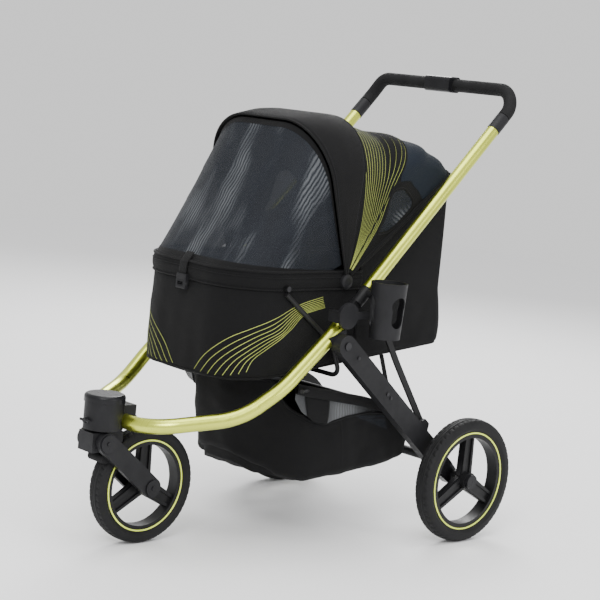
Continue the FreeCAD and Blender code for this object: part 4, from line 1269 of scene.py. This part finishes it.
def floor_pad():
    """The quilted floor cushion, puffed by a short cloth simulation."""
    source = frame["nodes"]["cabin_floor_pad"]
    pad = bpy.data.objects.new("floor_cushion", source.data.copy())
    bpy.context.scene.collection.objects.link(pad)
    pad.matrix_world = source.matrix_world.copy()
    while pad.modifiers:
        pad.modifiers.remove(pad.modifiers[0])
    bpy.context.view_layer.objects.active = pad
    remesh = pad.modifiers.new("even_mesh", "REMESH")
    remesh.mode = "VOXEL"
    remesh.voxel_size = PAD_VOXEL
    apply_modifiers(pad)
    start = [vertex.co.copy() for vertex in pad.data.vertices]
    puff = pad.modifiers.new("puff", "CLOTH")
    puff.settings.use_pressure = True
    puff.settings.uniform_pressure_force = 4.0
    puff.settings.effector_weights.gravity = 0.0
    puff.point_cache.frame_start = 1
    puff.point_cache.frame_end = PAD_FRAMES
    scene = bpy.context.scene
    for frame_number in range(1, PAD_FRAMES + 1):
        scene.frame_set(frame_number)
    apply_modifiers(pad)
    scene.frame_set(1)
    for vertex, was in zip(pad.data.vertices, start):
        moved = vertex.co - was
        if moved.length > PAD_SWELL:
            vertex.co = was + moved * (PAD_SWELL / moved.length)
    for vertex in pad.data.vertices:
        place = vertex.co
        row = abs(((place.x + QUILT_PITCH / 2) % QUILT_PITCH) - QUILT_PITCH / 2)
        column = abs(((place.y + QUILT_PITCH / 2) % QUILT_PITCH) - QUILT_PITCH / 2)
        groove = math.exp(-(min(row, column) / QUILT_WIDTH) ** 2)
        if place.z > tub_floor(place.y) + 0.012:
            vertex.co.z -= QUILT_DEPTH * groove
    finer = pad.modifiers.new("finer", "SUBSURF")
    finer.levels = 1
    finer.render_levels = 1
    apply_modifiers(pad)
    pad.data.materials.clear()
    pad.data.materials.append(MAT["pad_cloth"])
    for face in pad.data.polygons:
        face.use_smooth = True
    soft(pad, "chassis")
    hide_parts("cabin_floor_pad")


def apply_modifiers(obj):
    """Bake the modifiers into the mesh."""
    graph = bpy.context.evaluated_depsgraph_get()
    fresh = bpy.data.meshes.new_from_object(obj.evaluated_get(graph), depsgraph=graph)
    obj.modifiers.clear()
    obj.data = fresh


floor_pad()


# ------------------------------------------------------------------ soft pieces listed
# (sheet, how it is held, what holds it, starts of the names of the pieces sewn to it); a name that ends
# in an underscore stands for a left and a right one
SHEETS = (
    ("cabin_tub_front_cloth", "stretched", "cabin_rim_frame_wire", ("tub_side_seam", "tub_lime_print")),
    ("cabin_tub_floor_cloth", "stretched", "cabin_tub_front_cloth", ("cabin_tub_bottom_piping",)),
    ("cabin_rear_panel_cloth", "stretched", "cabin_rim_frame_wire", ("rear_panel_top_binding",)),
    ("cabin_rim_band_cloth", "stretched", "cabin_rim_frame_wire",
     ("cabin_rim_upper", "cabin_rim_lower", "cabin_rim_middle")),
    ("hood_rear_cloth", "stretched", "hood_bow_cloth",
     ("hood_window_binding", "hood_window_piping", "hood_panel_seam", "hood_lip_binding", "hood_front_seam",
      "hood_seam_stitches", "hood_lime_print")),
    ("hood_window_mesh_", "stretched", "hood_rear_cloth", ()),
    ("hood_panel_cloth", "stretched", "hood_rear_cloth", ()),
    ("hood_bow_cloth", "stretched", "hood_bow_pins", ("hood_bow_front", "hood_bow_rear", "hood_bow_stitches")),
    ("front_screen_mesh", "stretched", "hood_bow_cloth", ("screen_",)),
    ("basket_cloth", "hung", "basket_rail", ("basket_edge_binding", "basket_side_seam", "basket_patch")),
    ("basket_gusset_mesh_", "stretched", "basket_sleeve_cloth_", ()),
    ("basket_divider_cloth_", "stretched", "basket_sleeve_cloth_", ()),
    ("basket_sleeve_cloth_", "stretched", "basket_rail", ()),
)


def sheet_rows():
    """The rows of SHEETS, one for each side where a name stands for two."""
    for name, held, holder, sewn in SHEETS:
        if not name.endswith("_"):
            yield name, held, holder, sewn
            continue
        for side_name, sign in SIDES:
            yield name + side_name, held, holder + side_name if holder.endswith("_") else holder, sewn


def declare_sheets():
    """Look up every cloth's unrolled metres and the pieces sewn to it."""
    shown = [obj for obj in bpy.context.scene.objects if obj.type in ("MESH", "CURVE")]
    rows = list(sheet_rows())
    declared = {row[0] for row in rows}
    for name, held, holder, sewn in rows:
        obj = bpy.data.objects[name]
        places = [loop.uv for loop in obj.data.uv_layers[0].data]
        others = [other for other in shown
                  if other.name not in declared and any(other.name.startswith(start) for start in sewn)]


declare_sheets()


# ------------------------------------------------------------------ studio
def studio():
    """A white floor just under the wheels, four soft lights and a white world."""
    floor_mesh = bpy.data.meshes.new("studio_floor")
    size, depth = 6.0, -0.0006
    floor_mesh.from_pydata([(-size, -size, depth), (size, -size, depth), (size, size, depth),
                            (-size, size, depth)], [], [(0, 1, 2, 3)])
    floor = bpy.data.objects.new("studio_floor", floor_mesh)
    bpy.context.scene.collection.objects.link(floor)
    paint, shader = new_material("studio_floor_paint", (0.93, 0.93, 0.935), 0.8)
    shade = noise_of(paint, coordinates(paint), 3.0)
    gloss_by(paint, shader, shade, 0.70, 0.80)
    floor_mesh.materials.append(paint)
    staged = [floor]
    for name, place, aim, size_m, power in (
            ("key_light", (2.6, -3.4, 3.4), (0, 0, 0.5), 2.6, 170),
            ("fill_light", (4.2, 0.6, 1.6), (0, 0, 0.6), 2.2, 45),
            ("rim_light", (-2.4, 2.6, 2.8), (0, 0, 0.7), 2.0, 120),
            ("top_light", (0.3, -0.2, 4.0), (0, 0, 0), 3.0, 90)):
        lamp = bpy.data.lights.new(name, "AREA")
        lamp.shape = "DISK"
        lamp.size = size_m
        lamp.energy = power
        obj = bpy.data.objects.new(name, lamp)
        obj.location = place
        obj.rotation_euler = (Vector(aim) - Vector(place)).to_track_quat("-Z", "Y").to_euler()
        bpy.context.scene.collection.objects.link(obj)
        staged.append(obj)
    world = bpy.data.worlds.new("studio_world")
    world.use_nodes = True
    world.node_tree.nodes["Background"].inputs["Color"].default_value = (1, 1, 1, 1)
    world.node_tree.nodes["Background"].inputs["Strength"].default_value = 1.0
    bpy.context.scene.world = world
    return staged


# the photograph's camera: azimuth, elevation and roll in degrees, its place, and its lens on a 36 mm sensor
CAMERA_TURNS = (46.32, 7.647, 5.43)
CAMERA_PLACE = (3.019, -2.7983, 1.1029)
CAMERA_LENS = 105.64


def photo_camera():
    """A camera that sees the model from where the photograph was taken."""
    azimuth, elevation, roll = (math.radians(value) for value in CAMERA_TURNS)
    back = Vector((math.sin(azimuth) * math.cos(elevation), -math.cos(azimuth) * math.cos(elevation),
                   math.sin(elevation)))
    right = Vector((math.cos(azimuth), math.sin(azimuth), 0))
    up = back.cross(right)
    turned_right = right * math.cos(roll) + up * math.sin(roll)
    turned_up = -right * math.sin(roll) + up * math.cos(roll)
    lens = bpy.data.cameras.new("photo_camera")
    lens.lens = CAMERA_LENS
    lens.sensor_width = 36
    camera = bpy.data.objects.new("photo_camera", lens)
    matrix = Matrix((turned_right, turned_up, back)).transposed().to_4x4()
    matrix.translation = Vector(CAMERA_PLACE)
    camera.matrix_world = matrix
    bpy.context.scene.collection.objects.link(camera)
    bpy.context.scene.camera = camera
    return camera


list(studio())
photo_camera()
